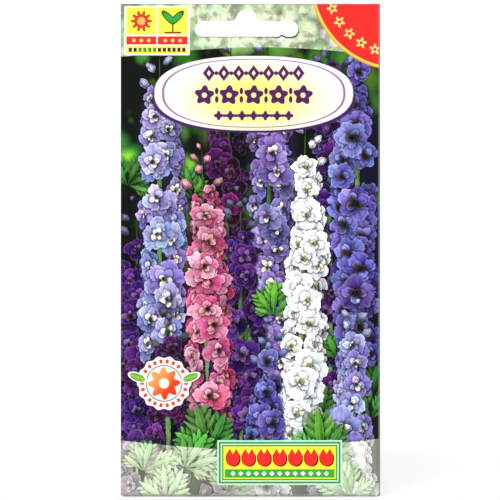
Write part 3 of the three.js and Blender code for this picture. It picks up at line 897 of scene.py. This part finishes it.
def print_flowers(mesh, settings, grid, cells, print_faces):
    """Gives each cell of the front its petals: on every corner, where it lies on each petal (s, t and
    the half width, negative for a leaf) and that petal's colour, and what is behind them all."""
    petals, bodies, lights = flower_picture(settings)
    corner_x, corner_y = corner_values(grid.print_x, cells), corner_values(grid.print_y, cells)
    full_x, full_y = ((v[:-1, :-1] + v[1:, 1:]) / 2 for v in (grid.print_x, grid.print_y))
    i = np.flatnonzero(cells.any(axis=1))
    j = np.flatnonzero(cells.any(axis=0))
    part = np.s_[i[0] : i[-1] + 1, j[0] : j[-1] + 1]
    layers, beneath = stack_petals(petals, full_x[part], full_y[part])
    shown = cells[part]
    nowhere = np.array([[1e3, 1e3, 1.0, 0.0, 1.0, 0.0, 0.0, 0.0, 0.0]])
    table = np.concatenate([petals, nowhere])

    def give(name, value, elsewhere=0.0):
        """A vector on every corner of the sheet's faces, with one value off the picture."""
        values = np.full((len(mesh.loops) // 4, 4, 3), elsewhere)
        values[print_faces] = value
        add_vectors(mesh, name, values)

    under = background(corner_x, corner_y, bodies, lights, settings.shade)
    covered = beneath[shown]
    give("under", np.where((covered >= 0)[:, None, None], table[covered][:, None, 5:8] * 0.7, under))
    for layer in range(PETAL_LAYERS):
        chosen = layers[..., layer][shown]
        petal = table[chosen]
        missing = (chosen < 0)[:, None]
        s, t = (np.where(missing, 9.0, v) for v in petal_place(petal[:, None, :], corner_x, corner_y))
        half = np.where(petal[:, 8] > 0, -petal[:, 4], petal[:, 4])[:, None]
        give(f"petal_{layer}", np.stack([s, t, np.broadcast_to(half, s.shape)], axis=-1), 9.0)
        give(f"tint_{layer}", petal[:, None, 5:8])


def paint_petal(inks, layer, ruffle, play):
    """Prints one layer of petals: a ragged outline, a soft shadow round it, and on the petal a darker
    base, fine veins, a crease and a light rim."""
    s, t, half = inks.split(inks.attribute(f"petal_{layer}"))
    tint = inks.attribute(f"tint_{layer}")
    reach = half.size()
    leaf = half.below(0.0)
    u = s.times_plus(2.0, -1.0)
    across = t / u.times_plus(PETAL_FLARE, 1.0).most(0.1)
    radius = inks.length(u, across) + u.most(0) * across.size() * PETAL_POINT
    lens = u * u + across.size()
    radius = inks.blend(leaf, radius, lens)
    away = (radius - 1.0 + ruffle) * reach
    mask = away.inside(0.16)
    grain = inks.noise(inks.join(s * 1.3, t * 3.2, reach * 37.0), 1.6, 2.0)
    light = u.rise(-1.0, 0.4).times_plus(0.66, 0.4) + grain.times_plus(0.8, -0.4) + play + across * 0.2
    rim = radius.rise(0.74, 0.98)
    crease = (1 - across.size().rise(0.0, 0.2)) * (1 - rim)
    light = light + rim * (u.rise(-0.8, 0.3) * 0.4) + crease * leaf.times_plus(0.5, -0.16)
    pure = inks.node("Gamma", (tint, light.times_plus(-0.6, 1.5).most(0.85)))
    colour = inks.scaled(pure, light.most(0.1).power(0.95))
    colour = inks.mix(rim * (1 - leaf) * 0.05, colour, ink(225, 225, 255))
    dark_side = across.math("MULTIPLY_ADD", -0.5, 0.5, clamp=True)
    shadow = away.rise(0.95, -0.15) * dark_side.times_plus(0.5, 0.3)
    inks.colour = inks.mix(mask, inks.scaled(inks.colour, 1 - shadow), colour)


# ---------------------------------------------------------------- the printed graphics


def print_wash(inks):
    """The pale bands at the head and the foot, where the picture shows faintly through, warmer at the
    foot and with thickets and gleams at the head. Each band's edge is part of a long sine wave."""
    x, y = inks.x, inks.y
    head = y - (x * (2 * math.pi / 130) - 0.5).sine().times_plus(-2.0, 15.4)
    foot = (x * (2 * math.pi / 150)).sine().times_plus(2.6, 134.6) - y
    at_head = head.inside(0.2)
    lifted = inks.node("Gamma", (inks.colour, at_head.times_plus(-0.04, 0.46)))
    saturation = at_head.times_plus(0.5, 0.45)
    faded = inks.node("HueSaturation", {"Color": lifted, "Saturation": saturation, "Value": 1.24})
    flap = y.rise(151.9, 152.3)
    blotch = inks.noise(inks.place, 0.13, 1.0, 0.4).rise(0.36, 0.6).most(flap)
    pale = inks.mix(blotch, ink(206, 230, 178), inks.settings.wash)
    warm = inks.mix(at_head.times_plus(-0.45, 0.45), faded, ink(255, 245, 220), "MULTIPLY")
    pale = inks.mix(at_head.times_plus(0.12, 0.12).most(flap), warm, pale)
    thicket = inks.noise(inks.place, 0.36).rise(0.47, 0.66) * at_head * 0.65
    pale = inks.mix(thicket, pale, ink(116, 108, 94))
    gleam = inks.noise(inks.join(x + 50.0, y), 0.3).rise(0.48, 0.66) * at_head * 0.65
    pale = inks.mix(gleam, pale, ink(243, 255, 224))
    inks.lay(head.least(foot), pale, soft=0.2)


def seed_leaves(inks, fork, across, along):
    """The two leaves of a seedling: an oval turned by 45 degrees, the same on each side of the stem."""
    side, down = (inks.x - fork[0]).size(), inks.y - fork[1]
    return inks.length((side + down).times_plus(*across), (down - side).times_plus(*along))


def print_small_panels(inks):
    """Two yellow squares, a sun on one and a seedling on the other, over red bars with yellow dots and a
    yellow strip of twelve boxes, one for each month."""
    x, y, red, yellow = inks.x, inks.y, inks.settings.red, inks.settings.yellow
    inks.lay(inks.panel((11.2, 8.3), (10.1, 7.6), 0.4), 244, 248, 230)
    apart = (x - 11.2).size()
    inks.lay(inks.panel((4.85, 5.35), (4.6, 4.15), at=(apart, y)), yellow)
    inks.lay(inks.panel((4.85, 11.3), (4.6, 1.25), at=(apart, y)), red)
    from_bar = apart - 4.85
    dots = inks.disc((0.0, 11.3), 0.55, at=(from_bar.repeat(2.3), y))
    inks.lay(dots.most(from_bar.size() - 3.4), 255, 225, 90)
    inks.lay(inks.panel((11.2, 14.2), (9.45, 1.15)), yellow)
    month = inks.panel((0.0, 14.2), (0.5, 0.65), at=((x - 10.45).repeat(1.5), y))
    season = (x - 8.2).size().below(3.0)
    inks.lay(month.most(apart - 8.8), inks.mix(season, ink(70, 40, 80), ink(60, 150, 50)))

    sun = inks.flower((6.35, 5.35), 3.3, 10, 0.2)
    inks.lay(sun, 70, 20, 20)
    inks.lay(sun + 0.3, 235, 60, 40)
    inks.lay(inks.disc((6.35, 5.35), 1.25), 255, 190, 90)

    inks.lay(inks.panel((16.05, 6.6), (0.22, 2.2)), 40, 60, 30)
    leaves = seed_leaves(inks, (16.05, 5.2), (0.7, -0.25), (0.26, 0.55))
    inks.lay(leaves - 1.1, 40, 70, 30)
    inks.lay(leaves - 0.8, 60, 170, 60)
    inks.lay(inks.panel((16.05, 8.9), (2.6, 0.28)), 150, 60, 40)


def print_corner(inks):
    """A red quarter round in the right corner with a yellow and orange border and a row of pale yellow
    flowers, set along the arc by its own angle."""
    dx, dy = inks.x - 86.0, inks.y + 7.0
    radius = inks.length(dx, dy)
    inks.lay(radius - 27.6, 255, 150, 60)
    inks.lay(radius - 27.2, 255, 225, 90)
    inks.lay(radius - 26.6, inks.settings.red)
    on_arc = ((dy.angle_from(dx) - 1.5) * 22.0).repeat(4.6), radius
    inks.lay(inks.flower((0.0, 22.4), 1.75, 5, 0.28, at=on_arc), 255, 222, 130)
    inks.lay(inks.disc((0.0, 22.4), 0.5, at=on_arc), inks.settings.red)


def print_title(inks):
    """The white title oval with its yellow glow. Where a title would stand it has three rows of violet
    ornament: lozenges, large five-petalled flowers with leaves between them, and small crosses."""
    x, y = inks.x, inks.y
    dx, dy = (x - 41.0) / 30.6, (y - 27.6) / 11.5
    oval = (dx.size().power(2.35) + dy.size().power(2.35)).power(1 / 2.35)
    away = (oval - 1.0) * 11.5
    inks.lay(away - y.rise(22.0, 36.0) * 0.7, 72, 34, 92, soft=0.3)
    glow = inks.length(dx * 1.05, dy * 0.8 - 0.12).rise(1.0, 0.22)
    inks.lay(away, inks.mix(glow, ink(254, 253, 246), ink(249, 248, 128)))
    inks.lay((away + 1.0).line(0.28), 150, 110, 160)

    from_middle = x - 41.0
    reach = from_middle.size()
    top_x, top_y = from_middle.repeat(4.6).size(), (y - 21.4).size()
    lozenge = (top_x / 1.9 + top_y / 2.5 - 1.0) * 1.5
    hollow = (top_x / 0.6 + top_y / 0.95 - 1.0) * 0.5
    row = lozenge.most(0 - hollow).most(reach - 16.0)
    bead = inks.disc((0.0, 21.4), 0.62, at=((from_middle + 2.3).repeat(4.6), y))
    row = row.least(bead.most(reach - 14.6))

    bloom_x, bloom_y = from_middle.repeat(7.6), y - 28.2
    bloom = inks.flower((0.0, 28.2), 3.1, 5, 0.17, 1.2, at=(bloom_x, y)).most(reach - 19.4)
    bloom = bloom.most(0.8 - inks.length(bloom_x, bloom_y))
    leaf_x = (from_middle + 3.8).repeat(7.6)
    leaf = inks.length(leaf_x * 1.9, bloom_y.size() - 1.3) - 1.05
    row = row.least(bloom).least(leaf.most(reach - 17.0))

    cross = inks.flower((0.0, 34.5), 1.5, 4, 0.2, at=(from_middle.repeat(3.6), y))
    bead = inks.disc((0.0, 34.5), 0.5, at=((from_middle + 1.8).repeat(3.6), y))
    row = row.least(cross.most(reach - 12.6)).least(bead.most(reach - 11.6))
    inks.lay(row, inks.settings.letter_violet)


def print_badge(inks):
    """A white scalloped badge with a ring of orange dashes, green leaves and an eight-petalled daisy."""
    centre = (13.4, 117.0)
    dx, dy = inks.x - centre[0], inks.y - centre[1]
    radius, angle = inks.length(dx, dy), dy.angle_from(dx)
    vein = dy + dx.size() * 0.3 - 0.6
    blade = inks.length(dx.size() - 8.2, vein * 2.0) - 2.4
    edge = inks.flower(centre, 8.4, 14, 0.035).least(blade - 0.6)
    inks.lay(edge - 0.5, 45, 35, 60)
    inks.lay(edge, 255, 255, 252)
    on_ring = (angle * 6.8).repeat(6.8 * 2 * math.pi / 22), radius
    inks.lay(inks.panel((0.0, 6.8), (0.5, 0.62), 0.3, at=on_ring), 225, 70, 40)
    inks.lay((radius - 5.5).line(0.3), 70, 60, 70)
    inks.lay(blade - 0.5, 255, 255, 252)
    inks.lay(blade, 120, 180, 60)
    inks.lay((vein.size() - 0.12).most(blade), 170, 215, 110)
    daisy = inks.flower(centre, 5.1, 8, 0.16, 0.4)
    inks.lay(daisy - 0.3, 255, 255, 250)
    inks.lay(daisy, inks.mix((dx + dy).rise(-5.0, 4.0), ink(255, 165, 90), ink(238, 62, 24)))
    inks.lay(radius - 1.6, 252, 235, 200)
    inks.lay(radius - 1.2, 255, 250, 235)


def print_plate(inks):
    """The framed plate at the foot: pale line, green band, white line, a yellow field with a row of red
    tulips with dark edges, and a green strip with a row of white lozenges."""
    outer = inks.panel((49.0, 141.4), (19.2, 6.9))
    inks.lay(outer, 205, 245, 222)
    inks.lay(outer + 0.45, 48, 160, 74)
    inks.lay((outer + 1.25).line(0.35), 235, 250, 230)
    inks.lay(inks.panel((49.0, 141.4), (17.3, 5.0)), 255, 248, 60)
    from_middle = inks.x - 49.0
    reach = from_middle.size()
    tulip_x, tulip_y = from_middle.repeat(4.8), inks.y - 140.3

    def tulip(shift):
        """One cup with two notches in its rim, moved right and down by shift."""
        side, down = (tulip_x - shift).size(), tulip_y - shift
        cup = inks.length(side, down.most(0.0)) - 2.0
        return cup.most((side - 1.0).size().times_plus(1.7, -3.0) - down).most(reach - 16.8)

    shape = tulip(0.0)
    inks.lay(tulip(0.35).least(shape - 0.2), 96, 24, 14)
    inks.lay(shape, inks.settings.red)
    inks.lay(inks.panel((49.0, 144.75), (16.9, 1.3)), 60, 172, 64)
    lozenge = from_middle.repeat(2.4).size() + (inks.y - 144.75).size() - 0.8
    inks.lay(lozenge.most(reach - 16.0), 246, 252, 240)


def painted_edge_shade(inks):
    """Painted shade along the folds and the cut top edge: a grey line, darker on the right and at the foot,
    which face away from the light, and fainter on the left and along the top, made patchy by noise."""
    shade_patchiness = inks.noise(inks.place, 1.4, 3.0, 0.7).times_plus(0.5, 0.5)
    right, foot = (inks.x - 79.78).line(0.72), (inks.y - 151.6).line(0.72)
    # Painted shade: the darker grey line on the right fold and along the foot.
    inks.lay(right.least(foot), 128, 138, 132, share=shade_patchiness, soft=0.25)
    # Fainter painted shade on the left fold and along the top edge.
    left, top = inks.x.line(0.6), inks.y.line(0.48)
    fainter = left.least(top).inside(0.25) * shade_patchiness * 0.62
    inks.colour = inks.mix(fainter, inks.colour, ink(118, 128, 124))


def painted_slot_shadow(inks):
    """A painted shadow round the slot: the slot's own shape in dark grey, moved a little down and to the
    right, and further at its right end, so that it shows along the lower edge and over the nick."""
    x, y = inks.x, inks.y
    right = x.rise(44.0, 50.0)
    middle = TOP - SLOT_MIDDLE
    straight = SLOT_REACH - SLOT_END
    raised = (x - (NICK_PLACE + WIDTH / 2)).size().rise(NICK_REACH, 0.0) * y.rise(middle, middle + 0.5)
    dx = x + LEFT - right.times_plus(0.12, 0.1)
    dy = y + raised * NICK_HEIGHT - middle - right.times_plus(0.26, 0.24)
    bar = inks.length(dx.size().most(straight) - straight, dy) - SLOT_END
    hump = inks.length(dx, y - (0.2 + TOP + HUMP_RADIUS)) - HUMP_RADIUS
    # Painted shadow, darker towards the slot's right end.
    inks.lay(bar.least(hump), 54, 56, 44, share=right.times_plus(0.15, 0.8), soft=0.25)


# The marks of the front, in the order that they are printed over the picture. The last two are painted
# shade: a shadow along the slot's lower edge and a grey line along the folds.
FRONT_MARKS = (
    print_wash, print_small_panels, print_corner, print_title,
    print_badge, print_plate, painted_slot_shadow, painted_edge_shade,
)


def front_print(settings):
    """The front of the sheet: the flower picture, the washes and the marks over it."""
    inks = Inks("front_print")
    x, y, _ = inks.split(inks.attribute("sheet"))
    inks.start(x, y, settings)
    inks.colour = inks.attribute("under")
    ruffle = inks.noise(inks.place, 0.75, 2.0, 0.6) - 0.5
    play = inks.noise(inks.place, 0.3, 1.0).times_plus(0.7, -0.35)
    for layer in reversed(range(PETAL_LAYERS)):
        paint_petal(inks, layer, ruffle, play)
    for mark in FRONT_MARKS:
        mark(inks)
    return inks.dry(0.42)


def back_print(settings):
    """The back of the sheet, measured from its own left edge: a pale wash, a violet band of flowers,
    four small pictures, a framed panel with faint flowers, a calendar grid, and a row of plants over a
    measure. The side flap carries the wash."""
    inks = Inks("back_print")
    sheet_x, y, _ = inks.split(inks.attribute("sheet"))
    x = sheet_x - WIDTH
    inks.start(x, y, settings)
    blotch = inks.noise(inks.place, 0.12, 3.0, 0.55).rise(0.4, 0.62)
    inks.colour = inks.mix(blotch, ink(243, 246, 238), ink(232, 240, 224))
    head = y - (x * (2 * math.pi / 130)).sine().times_plus(1.6, 16.0)
    cloud = inks.noise(inks.place, 0.09, 1.0, 0.4).rise(0.34, 0.66)
    inks.lay(head, inks.mix(cloud, settings.wash, ink(206, 204, 222)), soft=0.3)

    from_middle = x - 40.0
    reach = from_middle.size()
    band = inks.panel((40.0, 26.0), (34.0, 5.0), 2.5)
    inks.lay(band, 92, 52, 132)
    inks.lay((band + 0.8).line(0.25), 214, 200, 232)
    along = from_middle.repeat(8.0), y
    inks.lay(inks.flower((0.0, 26.0), 2.6, 5, 0.25, at=along).most(reach - 28.5), 250, 248, 255)
    inks.lay(inks.disc((0.0, 26.0), 0.6, at=along).most(reach - 28.5), 245, 190, 60)

    tile = inks.panel((0.0, 42.5), (7.2, 7.2), 0.8, at=((x - 48.5).repeat(17.0), y)).most(reach - 34.0)
    inks.lay(tile, 60, 150, 64)
    inks.lay(tile + 0.45, 250, 247, 150)
    inks.lay(inks.flower((14.5, 42.5), 4.4, 12, 0.2), 240, 120, 40)
    inks.lay(inks.disc((14.5, 42.5), 2.1), 255, 205, 80)
    drop_x, drop_y = x - 31.5, y - 43.8
    drop = inks.length(drop_x, drop_y.most(0.0)) - 2.7
    inks.lay(drop.most(drop_x.size().times_plus(1.55, -4.1) - drop_y), 80, 120, 205)
    inks.lay(inks.panel((48.5, 47.3), (5.6, 0.9)), 120, 82, 52)
    inks.lay(inks.panel((48.5, 44.0), (0.3, 2.9)), 50, 120, 50)
    inks.lay(seed_leaves(inks, (48.5, 41.6), (0.7, -0.6), (0.3, 0.9)) - 1.7, 70, 165, 60)
    inks.lay(inks.flower((65.5, 42.5), 4.6, 5, 0.26), 112, 96, 190)
    inks.lay(inks.disc((65.5, 42.5), 1.2), 250, 245, 225)

    box = inks.panel((40.0, 71.5), (33.6, 17.0), 1.2)
    inks.lay(box.line(0.4), 96, 150, 90)
    inks.lay(box + 0.2, 252, 252, 248)
    sprig = inks.flower((0.0, 71.5), 5.2, 6, 0.4, at=(from_middle.repeat(22.0), y))
    inks.lay(sprig.most(reach - 32.0), 190, 180, 225, share=0.35)

    grid = inks.panel((40.0, 103.0), (32.4, 8.1))
    inks.lay(grid, 252, 252, 246)
    first = inks.panel((29.2, 97.6), (10.8, 2.7)).least(inks.panel((40.0, 103.0), (5.4, 2.7)))
    inks.lay(first, 120, 190, 80)
    inks.lay(inks.panel((53.5, 108.4), (8.1, 2.7)), 150, 120, 205)
    column, row = (x - 42.7).repeat(5.4).size(), (y - 103.0).repeat(5.4).size()
    rule = (2.7 - column).least(2.7 - row) - 0.16
    inks.lay(rule.most(grid - 0.16), 70, 110, 70)

    spaced = from_middle.repeat(11.0), y
    inks.lay(inks.flower((0.0, 122.0), 2.7, 7, 0.22, at=spaced).most(reach - 30.0), 96, 165, 70)
    tick = inks.panel((0.0, 127.4), (0.16, 0.9), at=spaced).most(reach - 23.0)
    inks.lay(inks.panel((40.0, 127.4), (22.0, 0.16)).least(tick), 70, 80, 70)
    return inks.dry(0.44)


def bare_paper():
    """The sheet's unprinted side and its cut edges: white, matt and fibrous."""
    inks = Inks("bare_paper")
    fibre = inks.noise(inks.object_place(), 900.0, 4.0, 0.7)
    cloud = inks.noise(inks.object_place(), 120.0).rise(0.4, 0.7)
    colour = inks.mix(fibre, ink(226, 224, 216), ink(248, 247, 241))
    colour = inks.mix(cloud * 0.3, colour, ink(228, 226, 214))
    return inks.finish(colour, fibre.times_plus(0.2, 0.65))


def dried_glue():
    """Dried dispersion glue: pale, slightly clear, with a brushed gloss."""
    inks = Inks("dried_glue")
    streak = inks.noise(inks.object_place(), 420.0, 3.0, 0.6)
    colour = inks.mix(streak, ink(222, 214, 190), ink(240, 236, 222))
    return inks.finish(colour, streak.times_plus(0.25, 0.25))


def seed_coat():
    """A delphinium seed's coat: dark brown, with fine pale ridges across it and a dull, pitted face."""
    inks = Inks("seed_coat")
    pits = inks.noise(inks.object_place(), 2600.0, 3.0, 0.65)
    waves = {"Vector": inks.object_place(), "Scale": 900.0, "Distortion": 5.0, "Detail": 2.0}
    ridge = Field(inks, inks.node("TexWave", waves, "Fac"))
    colour = inks.mix(pits.rise(0.35, 0.65), ink(30, 20, 16), ink(92, 66, 46))
    colour = inks.mix(ridge.rise(0.7, 1.0) * 0.6, colour, ink(150, 122, 92))
    return inks.finish(colour, pits.times_plus(0.2, 0.72), Normal=inks.bump(ridge, 0.6, 0.08))


# ---------------------------------------------------------------- the pieces

BAKE_SCALE, BAKE_MARGIN = 0.0058, 0.006  # in the bake's square: of a sheet millimetre, and round its edge


def bake_places(grid, cells, walls):
    """A flat place for every face corner: the whole outside of the sheet unfolded at one scale, the
    inside pressed small under the back panel, and the cut edges side by side under the side flap."""
    x, y = corner_values(grid.print_x, cells), corner_values(grid.print_y, cells)
    across, down = SIDE_FLAP + 2 * WIDTH, HEIGHT + FLAP_HEIGHT
    right, up = x + SIDE_FLAP, down - y
    outside = np.stack([BAKE_MARGIN + right * BAKE_SCALE, BAKE_MARGIN + up * BAKE_SCALE], axis=-1)
    left = BAKE_MARGIN + (SIDE_FLAP + WIDTH + 2) * BAKE_SCALE
    wide, high = (WIDTH - 4) * BAKE_SCALE, (FLAP_HEIGHT - 3) * BAKE_SCALE
    inside = np.stack([left + right / across * wide, BAKE_MARGIN + up / down * high], axis=-1)[:, ::-1]
    strip = (SIDE_FLAP - 1) * BAKE_SCALE
    edge = np.arange(walls) / walls * (SIDE_FLAP - 1) * BAKE_SCALE + BAKE_MARGIN
    strip_x = edge[:, None] + np.array([strip / walls, 0, 0, strip / walls]) * 0.98
    strip_y = BAKE_MARGIN + np.broadcast_to(np.array([0, 0, 1, 1]) * high, (walls, 4))
    return np.concatenate([outside, inside, np.stack([strip_x, strip_y], axis=-1)])


class SEEDPACKET_OT_envelope(bpy.types.Operator):
    """Folds the printed sheet into the packet, punches its slot and lays the print on it"""

    bl_idname = "seedpacket.envelope"
    bl_label = "Printed envelope"

    def execute(self, context):
        fold = Fold(context.scene.seedpacket_sheet)
        settings = context.scene.seedpacket_print
        grid = SheetGrid(fold)
        cells = grid.cells
        outer, inner = grid.points(fold.paper), grid.points(0.0)
        mesh, count, walls = layered_mesh("printed_envelope", outer, inner, cells)

        x, y = corner_values(grid.print_x, cells), corner_values(grid.print_y, cells)
        sheet = np.zeros((len(mesh.polygons), 4, 3))
        sheet[:count, :, 0], sheet[:count, :, 1] = x, y
        add_vectors(mesh, "sheet", sheet)
        faces = np.zeros(cells.shape, int)
        faces[cells] = np.arange(count)
        middle = (x[:, 0] + x[:, 2]) / 2
        front = np.zeros_like(cells)
        front[cells] = (middle > 0) & (middle < WIDTH)
        picture = front & (grid.sheet_y[:, :-1] < HEIGHT + 0.01)
        print_flowers(mesh, settings, grid, picture, faces[picture])

        slots = np.full(len(mesh.polygons), 2, np.int32)
        slots[:count] = np.where(front[cells], 0, 1)
        mesh.polygons.foreach_set("material_index", slots)
        bake = mesh.uv_layers.new(name="OFBake")
        bake.data.foreach_set("uv", bake_places(grid, cells, walls).astype(np.float32).ravel())
        materials = [front_print(settings), back_print(settings), bare_paper()]
        finish_piece("printed_envelope", mesh, materials, "envelope")
        return {"FINISHED"}


def glue_strip(name, node, material, x_lines, z_lines, near, far, punched=False):
    """A strip of glue between two layers: the same grid of places on each, walled all round."""
    x, z = (line.copy() for line in np.meshgrid(x_lines, z_lines, indexing="ij"))
    cells = np.ones((len(x_lines) - 1, len(z_lines) - 1), bool)
    if punched:
        cells = cut_slot(x, z, cells)
    outer, inner = (np.stack([x, layer(x, z), z], axis=-1) for layer in (near, far))
    mesh, _, _ = layered_mesh(name, outer, inner, cells)
    finish_piece(name, mesh, [material], node)


class SEEDPACKET_OT_glue(bpy.types.Operator):
    """Lays the three strips of glue between the folded layers"""

    bl_idname = "seedpacket.glue"
    bl_label = "Glue strips"

    def execute(self, context):
        fold = Fold(context.scene.seedpacket_sheet)
        material = dried_glue()
        glue_strip(
            "side_seam_glue", "seam_glue", material,
            LEFT + np.linspace(*SEAM_GLUE, 5), np.linspace(TOP, BOTTOM + FOOT_BAND, 111),
            lambda x, z: fold.half_gap(x, z) + fold.paper, fold.back_inner,
        )
        inset = FLAP_INSET + FLAP_TAPER
        glue_strip(
            "foot_flap_glue", "bottom_flap_glue", material,
            np.linspace(LEFT + inset, RIGHT - inset, 60), BOTTOM + np.linspace(FLAP_HEIGHT, FOOT_BAND, 9),
            lambda x, z: fold.back_inner(x, z) + fold.paper, fold.flap_inner,
        )
        inset = HEADER_GLUE_INSET
        glue_strip(
            "header_area_glue", "header_glue", material,
            np.linspace(LEFT + inset, RIGHT - inset, 100), np.linspace(TOP, POCKET_TOP, 25),
            lambda x, z: -fold.half_gap(x, z), fold.half_gap, punched=True,
        )
        return {"FINISHED"}


class SEEDPACKET_OT_seeds(bpy.types.Operator):
    """Gives the loose seeds their dark, ridged coat"""

    bl_idname = "seedpacket.seeds"
    bl_label = "Seed coats"

    def execute(self, context):
        coat = seed_coat()
        for name in SEED_NODES:
            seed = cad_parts[name]
            seed.data.materials.clear()
            seed.data.materials.append(coat)
        return {"FINISHED"}


STAGE_REACH, STAGE_BEND, STAGE_RISE = 1.5, 0.6, 1.4  # metres
KEY_OFFSET = (-0.4, -1.15, 0.9)
KEY_SIZE = 0.9
VIEW_SHIFT = (-0.14, 0.08)  # the camera's place off the packet's middle, across and up


def stage_surface():
    """The floor and its backdrop, one surface turned about the upright axis. Its profile is flat out to
    1.5 m, rises round a quarter circle of 0.6 m and goes straight up."""
    bend = np.linspace(0, np.pi / 2, 13)
    wall = STAGE_REACH + STAGE_BEND
    reach = np.array([0.0, 0.3, 0.8, *(STAGE_REACH + STAGE_BEND * np.sin(bend)), wall])
    height = np.array([0.0, 0.0, 0.0, *(STAGE_BEND - STAGE_BEND * np.cos(bend)), STAGE_RISE])
    around = np.linspace(0, 2 * np.pi, 73)[:, None]
    x, y = reach * np.cos(around), reach * np.sin(around)
    z = np.broadcast_to(height, x.shape) + (BOTTOM - 0.05) * MM
    points = np.stack([x, y, z], axis=-1).reshape(-1, 3)
    quads = grid_quads(np.ones((len(around) - 1, len(reach) - 1), bool), 0)
    mesh = bpy.data.meshes.new("stage")
    mesh.from_pydata(points.tolist(), [], quads[:, ::-1].tolist())
    mesh.polygons.foreach_set("use_smooth", np.ones(len(quads), bool))
    return mesh


class SEEDPACKET_OT_stage(bpy.types.Operator):
    """Sets out the pale floor and backdrop, the soft lamps and the camera"""

    bl_idname = "seedpacket.stage"
    bl_label = "Stage, lamps and camera"

    def execute(self, context):
        settings = context.scene.seedpacket_stage
        inks = Inks("stage_white")
        _, back, _ = inks.split(inks.object_place())
        glow = {"Emission Color": (1, 1, 1), "Emission Strength": back.rise(-0.5, 0.4).times_plus(0.35, 0.36)}
        stage = bpy.data.objects.new("stage", stage_surface())
        stage.data.materials.append(inks.finish(settings.floor, 0.9, **glow))
        context.collection.objects.link(stage)

        world = bpy.data.worlds.new("studio")
        context.scene.world = world
        world.use_nodes = True
        colour, strength = world.node_tree.nodes["Background"].inputs[:2]
        colour.default_value = (1, 1, 1, 1)
        strength.default_value = settings.fill
        context.scene.view_settings.view_transform = "Standard"

        middle = np.array([MIDDLE, 0.0, (TOP + BOTTOM) / 2]) * MM
        lamp = bpy.data.lights.new("key", "AREA")
        lamp.shape = "SQUARE"
        lamp.size = KEY_SIZE
        lamp.energy = settings.key_power
        towards = Vector(KEY_OFFSET).to_track_quat("Z", "Y").to_euler()
        self.place(context, "key", lamp, middle + np.array(KEY_OFFSET), towards)

        camera = bpy.data.cameras.new("camera")
        camera.lens = settings.lens
        camera.clip_start, camera.clip_end = 0.01, 20.0
        distance = settings.view_height / 2 / math.tan(math.atan(camera.sensor_width / 2 / camera.lens))
        where = (middle[0] + VIEW_SHIFT[0] * MM, middle[1] - distance, middle[2] + VIEW_SHIFT[1] * MM)
        context.scene.camera = self.place(context, "camera", camera, where, (math.pi / 2, 0, 0))
        return {"FINISHED"}

    def place(self, context, name, data, location, rotation):
        """Puts a lamp or a camera in the scene."""
        holder = bpy.data.objects.new(name, data)
        holder.location = location
        holder.rotation_euler = rotation
        context.collection.objects.link(holder)
        return holder


class SEEDPACKET_PT_panel(bpy.types.Panel):
    """The packet's settings and its pieces, one button each"""

    bl_idname = "SEEDPACKET_PT_panel"
    bl_label = "Seed packet"
    bl_space_type = "VIEW_3D"
    bl_region_type = "UI"
    bl_category = "Seed packet"

    def draw(self, context):
        for title in ("Sheet", "Print", "Stage"):
            group = getattr(context.scene, "seedpacket_" + title.lower())
            box = self.layout.box()
            box.label(text=title)
            for name in group.bl_rna.properties.keys():
                if name not in ("rna_type", "name"):
                    box.prop(group, name)
        for operator in OPERATORS:
            self.layout.operator(operator.bl_idname)


OPERATORS = [SEEDPACKET_OT_envelope, SEEDPACKET_OT_glue, SEEDPACKET_OT_seeds, SEEDPACKET_OT_stage]
CLASSES = [SheetSettings, PrintSettings, StageSettings, *OPERATORS, SEEDPACKET_PT_panel]


def register():
    for cls in CLASSES:
        bpy.utils.register_class(cls)
    bpy.types.Scene.seedpacket_sheet = PointerProperty(type=SheetSettings)
    bpy.types.Scene.seedpacket_print = PointerProperty(type=PrintSettings)
    bpy.types.Scene.seedpacket_stage = PointerProperty(type=StageSettings)


def unregister():
    del bpy.types.Scene.seedpacket_stage
    del bpy.types.Scene.seedpacket_print
    del bpy.types.Scene.seedpacket_sheet
    for cls in reversed(CLASSES):
        bpy.utils.unregister_class(cls)


def main():
    """Makes every piece in order."""
    register()
    bpy.ops.seedpacket.stage()
    bpy.ops.seedpacket.envelope()
    bpy.ops.seedpacket.glue()
    bpy.ops.seedpacket.seeds()


if __name__ == "__main__":
    main()
